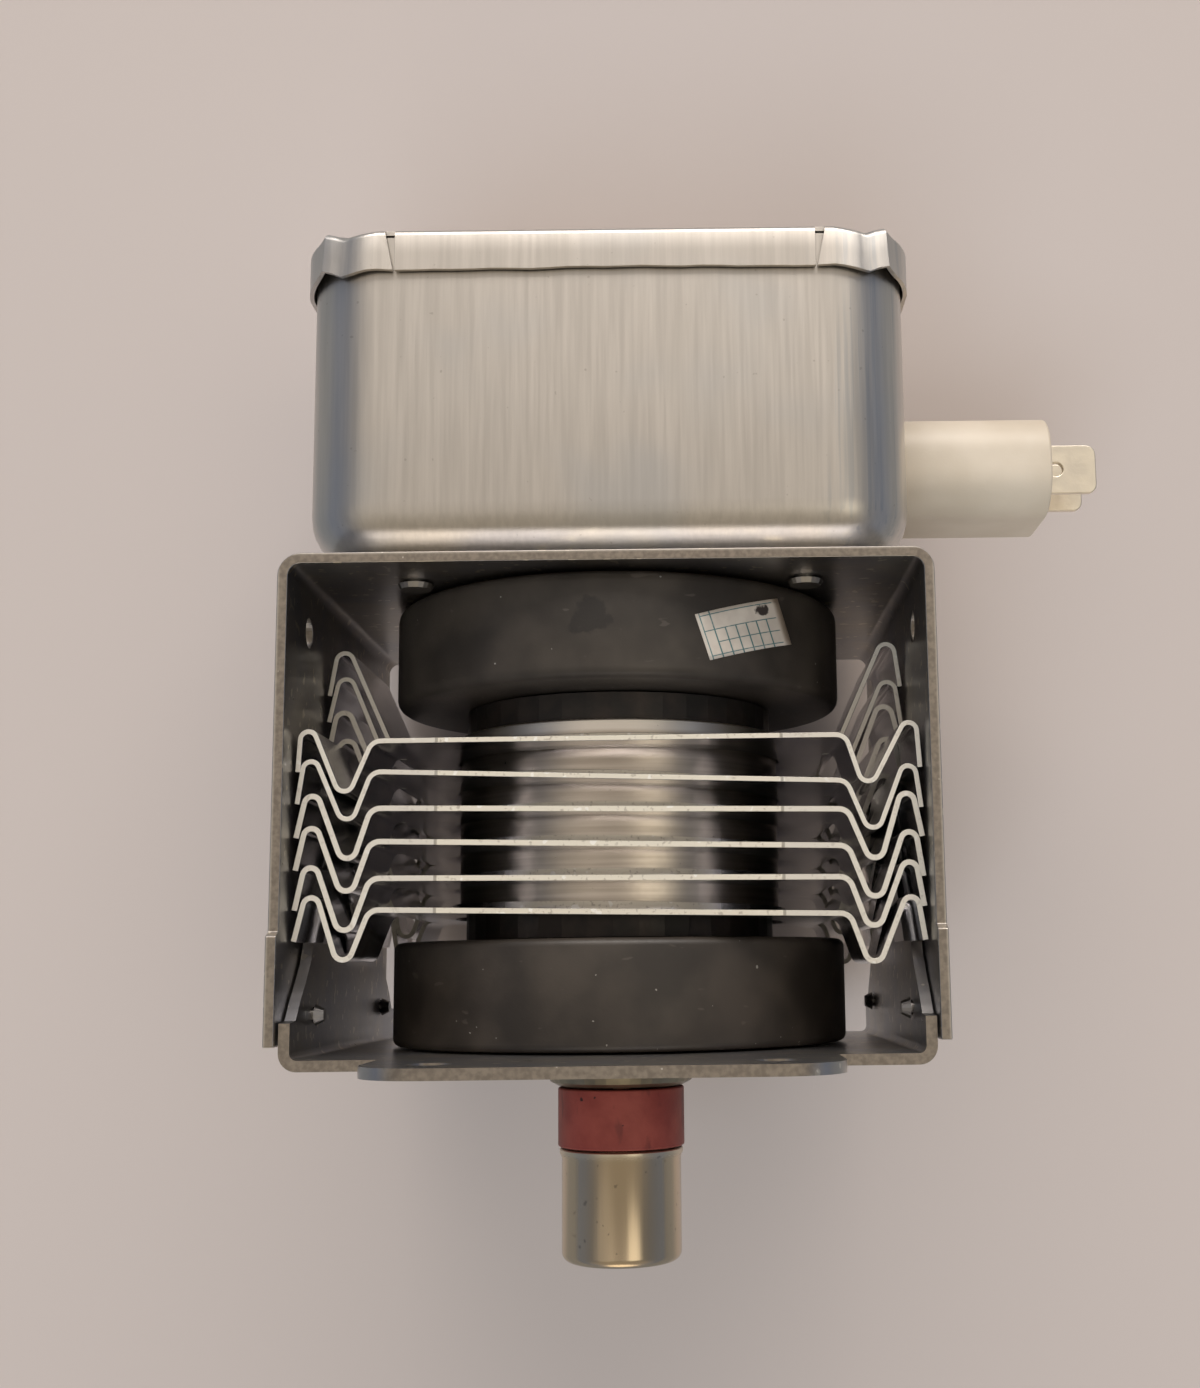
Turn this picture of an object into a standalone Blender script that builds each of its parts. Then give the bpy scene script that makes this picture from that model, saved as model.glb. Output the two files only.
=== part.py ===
import math

import bmesh
import bpy
from mathutils import Matrix, Vector

# A microwave oven magnetron: vacuum tube, two ring magnets, six cooling fins, a bent steel yoke
# and a filter box. It is drawn standing on its axis: z is 0 on the outer face of the mounting plate,
# +Z runs out along the antenna, -Z into the filter box, +X to the terminals and +Y to the open front.
# At the end the whole part is laid on its back, as a magnetron lies on a table.

MM = 0.001
GAP = 0.25 * MM
ROUND_STEPS = 40
SMALL_STEPS = 20
DRILL_STEPS = 12
BEND_STEPS = 3
MERGE = 0.00001

# Steel yoke and mounting plate
SHEET = 1.2 * MM
YOKE_HALF_WIDTH = 36.5 * MM
YOKE_HALF_DEPTH = 31.0 * MM
YOKE_HEIGHT = 56.6 * MM
YOKE_LEG_LENGTH = 54.0 * MM
YOKE_BEND = 2.0 * MM
YOKE_STEP = 1.0 * MM
YOKE_STEP_LEVEL = 14.8 * MM
TRAY_BEND = 1.4 * MM
TRAY_CLEARANCE = 0.25 * MM
FLANGE_HEIGHT = 5.1 * MM
TAB_HALF_WIDTH = 24.5 * MM
TAB_REACH = 47.5 * MM
TAB_CORNER = 7.0 * MM
MOUNT_HOLE = 2.3 * MM
COOLING_HOLE = 1.75 * MM
COOLING_HOLE_FORWARD = 20.0 * MM
COOLING_HOLE_BELOW_TOP = 6.9 * MM

# Ear of the mounting plate: height above the outer face, half its depth there
EAR_OUTLINE = (
    (5.3 * MM, 28.4 * MM),
    (7.4 * MM, 26.4 * MM),
    (9.3 * MM, 24.2 * MM),
    (11.5 * MM, 21.9 * MM),
    (14.5 * MM, 20.2 * MM),
    (19.0 * MM, 16.2 * MM),
    (20.8 * MM, 13.9 * MM),
    (25.0 * MM, 12.1 * MM),
    (30.2 * MM, 12.1 * MM),
    (31.5 * MM, 10.9 * MM),
)

# Ring magnets
MAGNET_RADIUS = 28.0 * MM
MAGNET_HEIGHT = 12.4 * MM
MAGNET_BORE = 10.6 * MM
MAGNET_CHAMFER = 1.0 * MM

# Anode, its vanes and straps
ANODE_RADIUS = 20.0 * MM
ANODE_WALL = 2.4 * MM
VANE_COUNT = 10
VANE_TIP_RADIUS = 4.6 * MM
VANE_HEIGHT = 9.6 * MM
VANE_THICKNESS = 1.6 * MM
STRAP_SLOT_DEPTH = 1.4 * MM
STRAP_HEIGHT = 1.0 * MM
STRAP_WIDTH = 0.8 * MM
STRAP_RADII = (7.1 * MM, 8.6 * MM)
POLE_RIM_RADIUS = 19.2 * MM
POLE_RIM_WALL = 1.8 * MM
POLE_RIM_INPUT = 3.6 * MM
POLE_RIM_OUTPUT = 2.9 * MM
POLE_SHEET = 1.4 * MM
POLE_HOLE = 4.9 * MM
POLE_TIP_RADIUS = 7.2 * MM
POLE_TIP_CLEARANCE = 1.2 * MM
POLE_CONE_RADIUS = 12.4 * MM

# Cathode
FILAMENT_RADIUS = 1.95 * MM
FILAMENT_WIRE = 0.25 * MM
FILAMENT_TURNS = 7
HAT_RADIUS = 3.2 * MM
HAT_THICKNESS = 0.8 * MM
LEAD_RADIUS = 0.6 * MM
SIDE_LEAD_OFFSET = 2.2 * MM
STEM_LEAD_OFFSET = 3.4 * MM

# Shells, ceramics, antenna
SHELL_RADIUS = 9.2 * MM
SHELL_WALL = 0.6 * MM
SHELL_FLANGE_RADIUS = 12.0 * MM
SHELL_NECK_RADIUS = 7.8 * MM
SHELL_RISE = 3.7 * MM
INPUT_SHELL_REACH = 5.0 * MM
STEM_RADIUS = 8.4 * MM
STEM_HEIGHT = 12.0 * MM
STEM_LEAD_RISE = 3.4 * MM
ANTENNA_CERAMIC_RADIUS = 7.8 * MM
ANTENNA_CERAMIC_BORE = 5.8 * MM
ANTENNA_CERAMIC_HEIGHT = 7.1 * MM
CAP_RADIUS = 7.35 * MM
CAP_WALL = 0.5 * MM
CAP_HEIGHT = 13.4 * MM
CAP_CORNER = 1.6 * MM
CAP_LIP = 0.22 * MM
ROD_RADIUS = 1.0 * MM
ROD_START_RADIUS = 11.0 * MM
EXHAUST_RADIUS = 2.6 * MM
EXHAUST_WALL = 0.6 * MM
EXHAUST_FLANGE_RADIUS = 6.4 * MM
EXHAUST_HEIGHT = 9.0 * MM

# Cooling fins
FIN_COUNT = 6
FIN_SHEET = 0.6 * MM
FIN_FIRST_LEVEL = 36.0 * MM
FIN_PITCH = 3.86 * MM
FIN_HALF_DEPTH = 26.5 * MM
FIN_BEND_X = 26.2 * MM
FIN_COLLAR = 1.4 * MM
FIN_CORNER = 0.9 * MM
FIN_SLIT = 1.1 * MM
MIDDLE_TAB_HALF_DEPTH = 11.3 * MM
VALLEY_X = 29.3 * MM
VALLEY_DROP = 6.9 * MM
CREST_INSET = 1.5 * MM
CREST_RISE = 3.5 * MM
LEG_DROP = 2.8 * MM
NEAR_CREST_SHARE = 0.65
MIDDLE_CREST_INSET = 1.5 * MM
MIDDLE_CREST_RISE = 15.3 * MM
MIDDLE_LEG_DROP = 6.4 * MM

# Filter box and lid
BOX_HALF_WIDTH = 35.0 * MM
BOX_HALF_DEPTH = 29.4 * MM
BOX_SHEET = 0.8 * MM
BOX_CORNER = 9.0 * MM
BOX_BOTTOM_RADIUS = 6.0 * MM
BOX_HEIGHT = 37.4 * MM
LID_SHEET = 0.5 * MM
LID_EDGE = 1.0 * MM
LID_LIP = 4.8 * MM
LID_SIDE_LIP = 5.1 * MM
LID_SLIT_X = 24.1 * MM
LID_SLIT_WIDTH = 1.0 * MM
LID_SLIT_POINT = 0.3 * MM
LID_CORNER_SLIT_INSET = 0.35
LID_CORNER_SLIT_BACK = 0.08
LID_CORNER_SLIT_TURN = math.radians(24.0)

# Feedthrough capacitor and chokes
TERMINAL_HEIGHT = 17.0 * MM
CASE_HALF_HEIGHT = 6.0 * MM
CASE_HALF_DEPTH = 9.6 * MM
CASE_CORNER = 4.2 * MM
CASE_REACH = 20.0 * MM
CASE_INSIDE = 9.0 * MM
FLANGE_HALF_HEIGHT = 9.0 * MM
FLANGE_HALF_DEPTH = 13.0 * MM
FLANGE_SHEET = 0.8 * MM
BLADE_HALF_HEIGHT = 3.2 * MM
BLADE_THICKNESS = 0.8 * MM
BLADE_SPACING = 8.2 * MM
BLADE_REACH = 6.8 * MM
BLADE_HOLE = 0.9 * MM
BLADE_INSIDE = 1.5 * MM
BLADE_CHAMFER = 1.2 * MM
CHOKE_OFFSET = 11.0 * MM
CHOKE_RADIUS = 3.5 * MM
CHOKE_WIRE = 0.6 * MM
CHOKE_TURNS = 8
CHOKE_LENGTH = 26.0 * MM
CHOKE_ABOVE_RIM = 9.25 * MM
CORE_CLEARANCE = 0.3 * MM

# Rivets
RIVET_RADIUS = 1.3 * MM
RIVET_HEAD_RADIUS = 2.1 * MM
RIVET_HEAD = 0.6 * MM
RIVET_CLEARANCE = 0.25 * MM
BOX_RIVET_X = 22.8 * MM
BOX_RIVET_Y = 20.8 * MM
SIDE_RIVET_RADIUS = 0.7 * MM
SIDE_RIVET_HEAD_RADIUS = 1.2 * MM
SIDE_RIVET_HEAD = 1.0 * MM
SIDE_RIVETS = ((20.0 * MM, 5.7 * MM), (-20.0 * MM, 5.7 * MM))

# Levels along the axis that follow from the sizes above
YOKE_TOP = -YOKE_HEIGHT
WALL_INSIDE = YOKE_HALF_WIDTH - SHEET
TRAY_HALF_WIDTH = WALL_INSIDE - TRAY_CLEARANCE
EAR_INSIDE = TRAY_HALF_WIDTH - SHEET
OUTPUT_MAGNET = -SHEET - GAP - MAGNET_HEIGHT
INPUT_MAGNET = YOKE_TOP + SHEET + GAP
ANODE_OUTPUT_END = OUTPUT_MAGNET - GAP - POLE_RIM_OUTPUT - GAP
ANODE_INPUT_END = INPUT_MAGNET + MAGNET_HEIGHT + GAP + POLE_RIM_INPUT + GAP
ANODE_MIDDLE = (ANODE_OUTPUT_END + ANODE_INPUT_END) / 2
BOX_BOTTOM = YOKE_TOP - GAP
BOX_RIM = BOX_BOTTOM - BOX_HEIGHT
LID_TOP = BOX_RIM - GAP - LID_SHEET
LID_HALF_WIDTH = BOX_HALF_WIDTH + GAP + LID_SHEET
LID_HALF_DEPTH = BOX_HALF_DEPTH + GAP + LID_SHEET
TERMINAL_LEVEL = YOKE_TOP - TERMINAL_HEIGHT
STEM_END = BOX_BOTTOM - INPUT_SHELL_REACH - GAP - STEM_HEIGHT
LEAD_END = STEM_END - STEM_LEAD_RISE
CERAMIC_BASE = SHELL_RISE + GAP
CERAMIC_END = CERAMIC_BASE + ANTENNA_CERAMIC_HEIGHT
CAP_BASE = CERAMIC_END + GAP
NEAR_REACH = EAR_INSIDE - GAP - FIN_SHEET / 2
FAR_REACH = WALL_INSIDE - GAP - FIN_SHEET / 2


def clear_scene():
    for item in list(bpy.data.objects):
        bpy.data.objects.remove(item, do_unlink=True)


def make_material(name, colour, metallic, roughness):
    material = bpy.data.materials.new(name)
    material.use_nodes = True
    shader = material.node_tree.nodes["Principled BSDF"]
    shader.inputs["Base Color"].default_value = (*colour, 1.0)
    shader.inputs["Metallic"].default_value = metallic
    shader.inputs["Roughness"].default_value = roughness
    return material


clear_scene()
PART = bpy.data.collections.new("magnetron")
CUTTERS = bpy.data.collections.new("magnetron_cutters")
bpy.context.scene.collection.children.link(PART)
bpy.context.scene.collection.children.link(CUTTERS)
FRAME = bpy.data.objects.new("magnetron_axis", None)
PART.objects.link(FRAME)

YOKE_STEEL = make_material("zinc_plated_steel", (0.42, 0.40, 0.37), 0.9, 0.38)
BOX_STEEL = make_material("drawn_steel", (0.55, 0.54, 0.51), 0.9, 0.34)
FIN_ALUMINIUM = make_material("fin_aluminium", (0.70, 0.68, 0.63), 0.9, 0.36)
FERRITE = make_material("magnet_ferrite", (0.055, 0.050, 0.047), 0.1, 0.45)
COPPER = make_material("copper", (0.72, 0.38, 0.24), 1.0, 0.3)
ANODE_METAL = make_material("anode_plating", (0.62, 0.58, 0.52), 0.95, 0.3)
POLE_IRON = make_material("pole_iron", (0.10, 0.10, 0.10), 0.8, 0.5)
SHELL_STEEL = make_material("shell_steel", (0.30, 0.28, 0.25), 0.9, 0.4)
TUNGSTEN = make_material("tungsten", (0.30, 0.30, 0.31), 0.9, 0.5)
RED_CERAMIC = make_material("red_ceramic", (0.30, 0.060, 0.052), 0.0, 0.55)
STEM_CERAMIC = make_material("stem_ceramic", (0.80, 0.76, 0.72), 0.0, 0.5)
CAP_STEEL = make_material("cap_steel", (0.45, 0.41, 0.32), 1.0, 0.24)
CASE_PLASTIC = make_material("case_plastic", (0.86, 0.80, 0.70), 0.0, 0.45)
BLADE_TIN = make_material("blade_tin", (0.74, 0.70, 0.60), 0.9, 0.35)
ENAMEL = make_material("enamelled_copper", (0.50, 0.20, 0.08), 0.7, 0.35)
CORE_FERRITE = make_material("core_ferrite", (0.08, 0.08, 0.085), 0.1, 0.5)


def add_object(name, data, material, collection=None):
    item = bpy.data.objects.new(name, data)
    (collection or PART).objects.link(item)
    if material is not None:
        data.materials.append(material)
        item.parent = FRAME
    return item


def add_bmesh(name, shape, material, collection=None):
    bmesh.ops.recalc_face_normals(shape, faces=shape.faces)
    mesh = bpy.data.meshes.new(name)
    shape.to_mesh(mesh)
    shape.free()
    mesh.shade_smooth()
    mesh.set_sharp_from_angle(angle=math.radians(40))
    return add_object(name, mesh, material, collection)


# A turned piece: its profile is a loop of (radius, height) that runs down the outer side first
def turned(name, profile, material, steps=ROUND_STEPS, closed=True):
    mesh = bpy.data.meshes.new(name)
    count = len(profile)
    edges = [(i, (i + 1) % count) for i in range(count if closed else count - 1)]
    mesh.from_pydata([(radius, 0.0, height) for radius, height in profile], edges, [])
    item = add_object(name, mesh, material)
    screw = item.modifiers.new("turn", "SCREW")
    screw.steps = steps
    screw.render_steps = steps
    screw.use_merge_vertices = True
    screw.merge_threshold = MERGE
    screw.use_smooth_shade = True
    return item


# A flat piece in its own XY plane: closed outlines, the first one outside and the rest holes
def flat_piece(name, outlines, thickness, material, collection=None):
    curve = bpy.data.curves.new(name, "CURVE")
    curve.dimensions = "2D"
    curve.fill_mode = "BOTH"
    curve.extrude = thickness / 2
    for outline in outlines:
        spline = curve.splines.new("POLY")
        spline.points.add(len(outline) - 1)
        for point, (x, y) in zip(spline.points, outline):
            point.co = (x, y, 0.0, 1.0)
        spline.use_cyclic_u = True
    return add_object(name, curve, material, collection)


# A wire along points, with round section and closed ends
def wire(name, points, radius, material, resolution=1):
    curve = bpy.data.curves.new(name, "CURVE")
    curve.dimensions = "3D"
    curve.bevel_depth = radius
    curve.bevel_resolution = resolution
    curve.use_fill_caps = True
    spline = curve.splines.new("POLY")
    spline.points.add(len(points) - 1)
    for point, place in zip(spline.points, points):
        point.co = (*place, 1.0)
    return add_object(name, curve, material, None if material else CUTTERS)


def as_mesh(item):
    bpy.context.view_layer.update()
    graph = bpy.context.evaluated_depsgraph_get()
    mesh = bpy.data.meshes.new_from_object(item.evaluated_get(graph))
    shape = bmesh.new()
    shape.from_mesh(mesh)
    bmesh.ops.remove_doubles(shape, verts=shape.verts, dist=MERGE)
    bmesh.ops.recalc_face_normals(shape, faces=shape.faces)
    shape.to_mesh(mesh)
    shape.free()
    name, matrix, parent = item.name, item.matrix_world.copy(), item.parent
    collection = item.users_collection[0]
    bpy.data.objects.remove(item, do_unlink=True)
    mesh.name = name
    solid = bpy.data.objects.new(name, mesh)
    collection.objects.link(solid)
    solid.parent = parent
    solid.matrix_world = matrix
    return solid


def cut(item, cutter):
    cutter.hide_render = True
    cutter.display_type = "WIRE"
    cutter.parent = FRAME
    boolean = item.modifiers.new("cut", "BOOLEAN")
    boolean.operation = "DIFFERENCE"
    boolean.solver = "EXACT"
    boolean.object = cutter
    return item


# Drills: one mesh of round cutters, each given as centre, axis and radius
def drills(name, holes, length):
    shape = bmesh.new()
    for centre, axis, radius in holes:
        turn = Vector((0, 0, 1)).rotation_difference(Vector(axis)).to_matrix().to_4x4()
        steps = ROUND_STEPS if radius > 3 * SHEET else DRILL_STEPS
        bmesh.ops.create_cone(
            shape, cap_ends=True, segments=steps, radius1=radius, radius2=radius,
            depth=length, matrix=Matrix.Translation(centre) @ turn,
        )
    return add_bmesh(name, shape, None, CUTTERS)


def circle(centre_x, centre_y, radius, steps=SMALL_STEPS):
    angles = [2 * math.pi * i / steps for i in range(steps)]
    return [(centre_x + radius * math.cos(a), centre_y + radius * math.sin(a)) for a in angles]


# A rectangle with round corners, its points in order round the middle
def rounded_rectangle(half_x, half_y, radius, steps=5):
    points = []
    for quarter in range(4):
        sign_x = 1 if quarter in (0, 3) else -1
        sign_y = 1 if quarter in (0, 1) else -1
        for i in range(steps + 1):
            angle = math.pi / 2 * (quarter + i / steps)
            points.append((sign_x * (half_x - radius) + radius * math.cos(angle),
                           sign_y * (half_y - radius) + radius * math.sin(angle)))
    return points


# A polyline whose inner corners are arcs
def bent_path(corners, radius, steps=BEND_STEPS):
    points = [corners[0]]
    for before, corner, after in zip(corners, corners[1:], corners[2:]):
        into = (Vector(before) - Vector(corner)).normalized()
        out = (Vector(after) - Vector(corner)).normalized()
        half = into.angle(out) / 2
        centre = Vector(corner) + (into + out).normalized() * (radius / math.sin(half))
        start = Vector(corner) + into * (radius / math.tan(half)) - centre
        end = Vector(corner) + out * (radius / math.tan(half)) - centre
        sweep = math.atan2(start.x * end.y - start.y * end.x, start.dot(end))
        first = math.atan2(start.y, start.x)
        for i in range(steps + 1):
            angle = first + sweep * i / steps
            points.append((centre.x + radius * math.cos(angle), centre.y + radius * math.sin(angle)))
    points.append(corners[-1])
    return points


def add_wall(item, thickness, offset=0.0):
    wall = item.modifiers.new("wall", "SOLIDIFY")
    wall.thickness = thickness
    wall.offset = offset
    wall.use_even_offset = True
    return item


# The yoke: one bent strip, open at front and back, a little deeper below its step
def yoke():
    wall_x = YOKE_HALF_WIDTH - SHEET / 2
    top = YOKE_TOP + SHEET / 2
    leg_end = YOKE_TOP + YOKE_LEG_LENGTH
    step = -YOKE_STEP_LEVEL
    bend = bent_path([(wall_x, leg_end), (wall_x, top), (-wall_x, top), (-wall_x, leg_end)], YOKE_BEND)
    path = [(wall_x, leg_end), (wall_x, step + YOKE_STEP / 2), (wall_x, step)] + bend[1:-1]
    path += [(-wall_x, step), (-wall_x, step + YOKE_STEP / 2), (-wall_x, leg_end)]
    shape = bmesh.new()
    rows = []
    for x, z in path:
        depth = YOKE_HALF_DEPTH + (YOKE_STEP if z > step + YOKE_STEP / 4 else 0.0)
        rows.append([shape.verts.new((x, side * depth, z)) for side in (-1, 1)])
    for near, far in zip(rows, rows[1:]):
        shape.faces.new((near[0], near[1], far[1], far[0]))
    item = add_wall(add_bmesh("yoke_upper", shape, YOKE_STEEL), SHEET)
    holes = [((0, 0, top), (0, 0, 1), SHELL_RADIUS + GAP)]
    for side_x in (-1, 1):
        for side_y in (-1, 1):
            holes.append(((side_x * BOX_RIVET_X, side_y * BOX_RIVET_Y, top), (0, 0, 1),
                          RIVET_RADIUS + RIVET_CLEARANCE))
        holes.append(((side_x * wall_x, COOLING_HOLE_FORWARD, YOKE_TOP + COOLING_HOLE_BELOW_TOP),
                      (1, 0, 0), COOLING_HOLE))
        for forward, height in SIDE_RIVETS:
            holes.append(((side_x * wall_x, forward, -height), (1, 0, 0),
                          SIDE_RIVET_RADIUS + RIVET_CLEARANCE))
    return cut(item, drills("yoke_drills", holes, 4 * SHEET))


def ear_half_depth(height):
    below = (FLANGE_HEIGHT, YOKE_HALF_DEPTH)
    for point in EAR_OUTLINE:
        if height <= point[0]:
            share = (height - below[0]) / (point[0] - below[0])
            return below[1] + share * (point[1] - below[1])
        below = point
    return below[1]


# The mounting plate: a tray whose side walls rise as ears, with a tab in front and behind
def mounting_plate():
    wall_x = TRAY_HALF_WIDTH - SHEET / 2
    floor = -SHEET / 2
    ear = [(-height, depth) for height, depth in reversed(EAR_OUTLINE)]
    corners = [(-wall_x, -FLANGE_HEIGHT), (-wall_x, floor), (wall_x, floor), (wall_x, -FLANGE_HEIGHT)]
    bend = bent_path(corners, TRAY_BEND)
    half = len(bend) // 2
    rows = [(-wall_x, z, depth) for z, depth in ear]
    rows += [(x, z, YOKE_HALF_DEPTH) for x, z in bend[:half]]
    rows += [(side * TAB_HALF_WIDTH, floor, YOKE_HALF_DEPTH) for side in (-1, 1)]
    rows += [(x, z, YOKE_HALF_DEPTH) for x, z in bend[half:]]
    rows += [(wall_x, z, depth) for z, depth in reversed(ear)]
    shape = bmesh.new()
    verts = [[shape.verts.new((x, side * depth, z)) for side in (-1, 1)] for x, z, depth in rows]
    for near, far in zip(verts, verts[1:]):
        shape.faces.new((near[0], near[1], far[1], far[0]))
    first = len(ear) + half
    corner = (TAB_HALF_WIDTH, TAB_REACH, TAB_CORNER)
    outline = [point for point in rounded_rectangle(*corner) if point[1] > 0]
    for side in (-1, 1):
        root = [verts[first + 1][side > 0], verts[first][side > 0]]
        tip = [shape.verts.new((x, side * y, floor)) for x, y in reversed(outline)]
        shape.faces.new(root + tip)
    item = add_wall(add_bmesh("mounting_plate", shape, YOKE_STEEL), SHEET)
    holes = [((0, 0, floor), (0, 0, 1), SHELL_RADIUS + GAP)]
    hole_x, hole_y = TAB_HALF_WIDTH - TAB_CORNER, TAB_REACH - TAB_CORNER
    for side_x in (-1, 1):
        for side_y in (-1, 1):
            holes.append(((side_x * hole_x, side_y * hole_y, floor), (0, 0, 1), MOUNT_HOLE))
        for forward, height in SIDE_RIVETS:
            holes.append(((side_x * wall_x, forward, -height), (1, 0, 0),
                          SIDE_RIVET_RADIUS + RIVET_CLEARANCE))
    return cut(item, drills("plate_drills", holes, 3 * SHEET))


def magnets():
    for name, base in (("magnet_output", OUTPUT_MAGNET), ("magnet_input", INPUT_MAGNET)):
        top, edge = base + MAGNET_HEIGHT, MAGNET_CHAMFER
        turned(name, [
            (MAGNET_RADIUS - edge, top), (MAGNET_RADIUS, top - edge), (MAGNET_RADIUS, base + edge),
            (MAGNET_RADIUS - edge, base), (MAGNET_BORE, base), (MAGNET_BORE, top),
        ], FERRITE)


def anode():
    inside = ANODE_RADIUS - ANODE_WALL
    turned("anode_cylinder", [
        (ANODE_RADIUS, ANODE_OUTPUT_END), (ANODE_RADIUS, ANODE_INPUT_END),
        (inside, ANODE_INPUT_END), (inside, ANODE_OUTPUT_END),
    ], ANODE_METAL)


# Resonator vanes: radial copper plates, notched on both edges for the straps
def vanes():
    root = ANODE_RADIUS - ANODE_WALL - GAP
    half = VANE_HEIGHT / 2
    slot_in = STRAP_RADII[0] - GAP
    slot_out = STRAP_RADII[1] + STRAP_WIDTH + GAP
    floor = half - STRAP_SLOT_DEPTH
    upper = [(VANE_TIP_RADIUS, half), (slot_in, half), (slot_in, floor), (slot_out, floor),
             (slot_out, half), (root, half)]
    outline = [(x, -y) for x, y in upper] + list(reversed(upper))
    for number in range(VANE_COUNT):
        vane = flat_piece(f"vane_{number + 1:02d}", [outline], VANE_THICKNESS, COPPER)
        vane.location = (0, 0, ANODE_MIDDLE)
        vane.rotation_euler = (math.pi / 2, 0, 2 * math.pi * (number + 0.5) / VANE_COUNT)


def straps():
    level = VANE_HEIGHT / 2 - STRAP_SLOT_DEPTH + GAP
    for side, place in ((1, "output"), (-1, "input")):
        for radius, ring in zip(STRAP_RADII, ("inner", "outer")):
            ends = sorted((ANODE_MIDDLE + side * level, ANODE_MIDDLE + side * (level + STRAP_HEIGHT)))
            turned(f"strap_{place}_{ring}", [
                (radius + STRAP_WIDTH, ends[1]), (radius + STRAP_WIDTH, ends[0]),
                (radius, ends[0]), (radius, ends[1]),
            ], COPPER, SMALL_STEPS)


# The antenna rod leaves a vane, passes the pole piece and the ceramic, and ends in the exhaust tube
def rod_path():
    start = ANODE_MIDDLE + VANE_HEIGHT / 2 + GAP
    bend = OUTPUT_MAGNET - POLE_RIM_OUTPUT
    corners = [(ROD_START_RADIUS, start), (ROD_START_RADIUS, start + ROD_RADIUS),
               (POLE_TIP_RADIUS - ROD_RADIUS, bend + ROD_RADIUS), (0.0, -SHEET),
               (0.0, CAP_BASE + EXHAUST_HEIGHT / 2)]
    angle = 2 * math.pi * 2.5 / VANE_COUNT
    return [(radius * math.cos(angle), radius * math.sin(angle), height) for radius, height in corners]


# Pole pieces: pressed iron funnels that close the anode, with the rim that shows beside the fins
def pole_piece(name, anode_end, rim, way):
    inside = POLE_RIM_RADIUS - POLE_RIM_WALL
    face = anode_end + way * GAP
    tip = ANODE_MIDDLE + way * (VANE_HEIGHT / 2 + POLE_TIP_CLEARANCE)
    profile = [
        (POLE_RIM_RADIUS, face + way * rim), (POLE_RIM_RADIUS, face), (POLE_CONE_RADIUS, face),
        (POLE_TIP_RADIUS, tip), (POLE_HOLE, tip), (POLE_HOLE, tip + way * POLE_SHEET),
        (POLE_TIP_RADIUS - POLE_SHEET / 2, tip + way * POLE_SHEET),
        (POLE_CONE_RADIUS - POLE_SHEET / 2, face + way * POLE_SHEET),
        (inside, face + way * POLE_SHEET), (inside, face + way * rim),
    ]
    if way < 0:
        profile.reverse()
    return turned(name, profile, POLE_IRON)


def pole_pieces():
    pole_piece("pole_piece_input", ANODE_INPUT_END, POLE_RIM_INPUT, -1)
    output = pole_piece("pole_piece_output", ANODE_OUTPUT_END, POLE_RIM_OUTPUT, 1)
    return cut(output, as_mesh(wire("rod_drill", rod_path(), ROD_RADIUS + 2 * GAP, None, 2)))


def cathode():
    low = ANODE_MIDDLE - VANE_HEIGHT / 2 + HAT_THICKNESS / 2
    high = ANODE_MIDDLE + VANE_HEIGHT / 2 - HAT_THICKNESS / 2
    steps = 12
    points = []
    for i in range(FILAMENT_TURNS * steps + 1):
        angle = 2 * math.pi * i / steps
        height = low + (high - low) * i / (FILAMENT_TURNS * steps)
        points.append((FILAMENT_RADIUS * math.cos(angle), FILAMENT_RADIUS * math.sin(angle), height))
    wire("filament", points, FILAMENT_WIRE, TUNGSTEN, 0)
    seat = FILAMENT_WIRE + GAP
    hole = LEAD_RADIUS + GAP
    input_hat = low - seat - HAT_THICKNESS
    output_hat = high + seat
    turned("end_hat_input", [
        (HAT_RADIUS, input_hat + HAT_THICKNESS), (HAT_RADIUS, input_hat),
        (hole, input_hat), (hole, input_hat + HAT_THICKNESS),
    ], TUNGSTEN, SMALL_STEPS)
    turned("end_hat_output", [
        (0.0, output_hat + HAT_THICKNESS), (HAT_RADIUS, output_hat + HAT_THICKNESS),
        (HAT_RADIUS, output_hat), (0.0, output_hat),
    ], TUNGSTEN, SMALL_STEPS, closed=False)
    joggle = YOKE_TOP
    spread = joggle - 2 * (STEM_LEAD_OFFSET - SIDE_LEAD_OFFSET) - 4 * LEAD_RADIUS
    for name, offset, side, top in (
        ("cathode_lead_centre", 0.0, 1, output_hat - GAP),
        ("cathode_lead_side", SIDE_LEAD_OFFSET, -1, input_hat - GAP),
    ):
        wire(name, [(0, side * offset, top), (0, side * offset, joggle),
                    (0, side * STEM_LEAD_OFFSET, spread), (0, side * STEM_LEAD_OFFSET, LEAD_END)],
             LEAD_RADIUS, TUNGSTEN)


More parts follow.
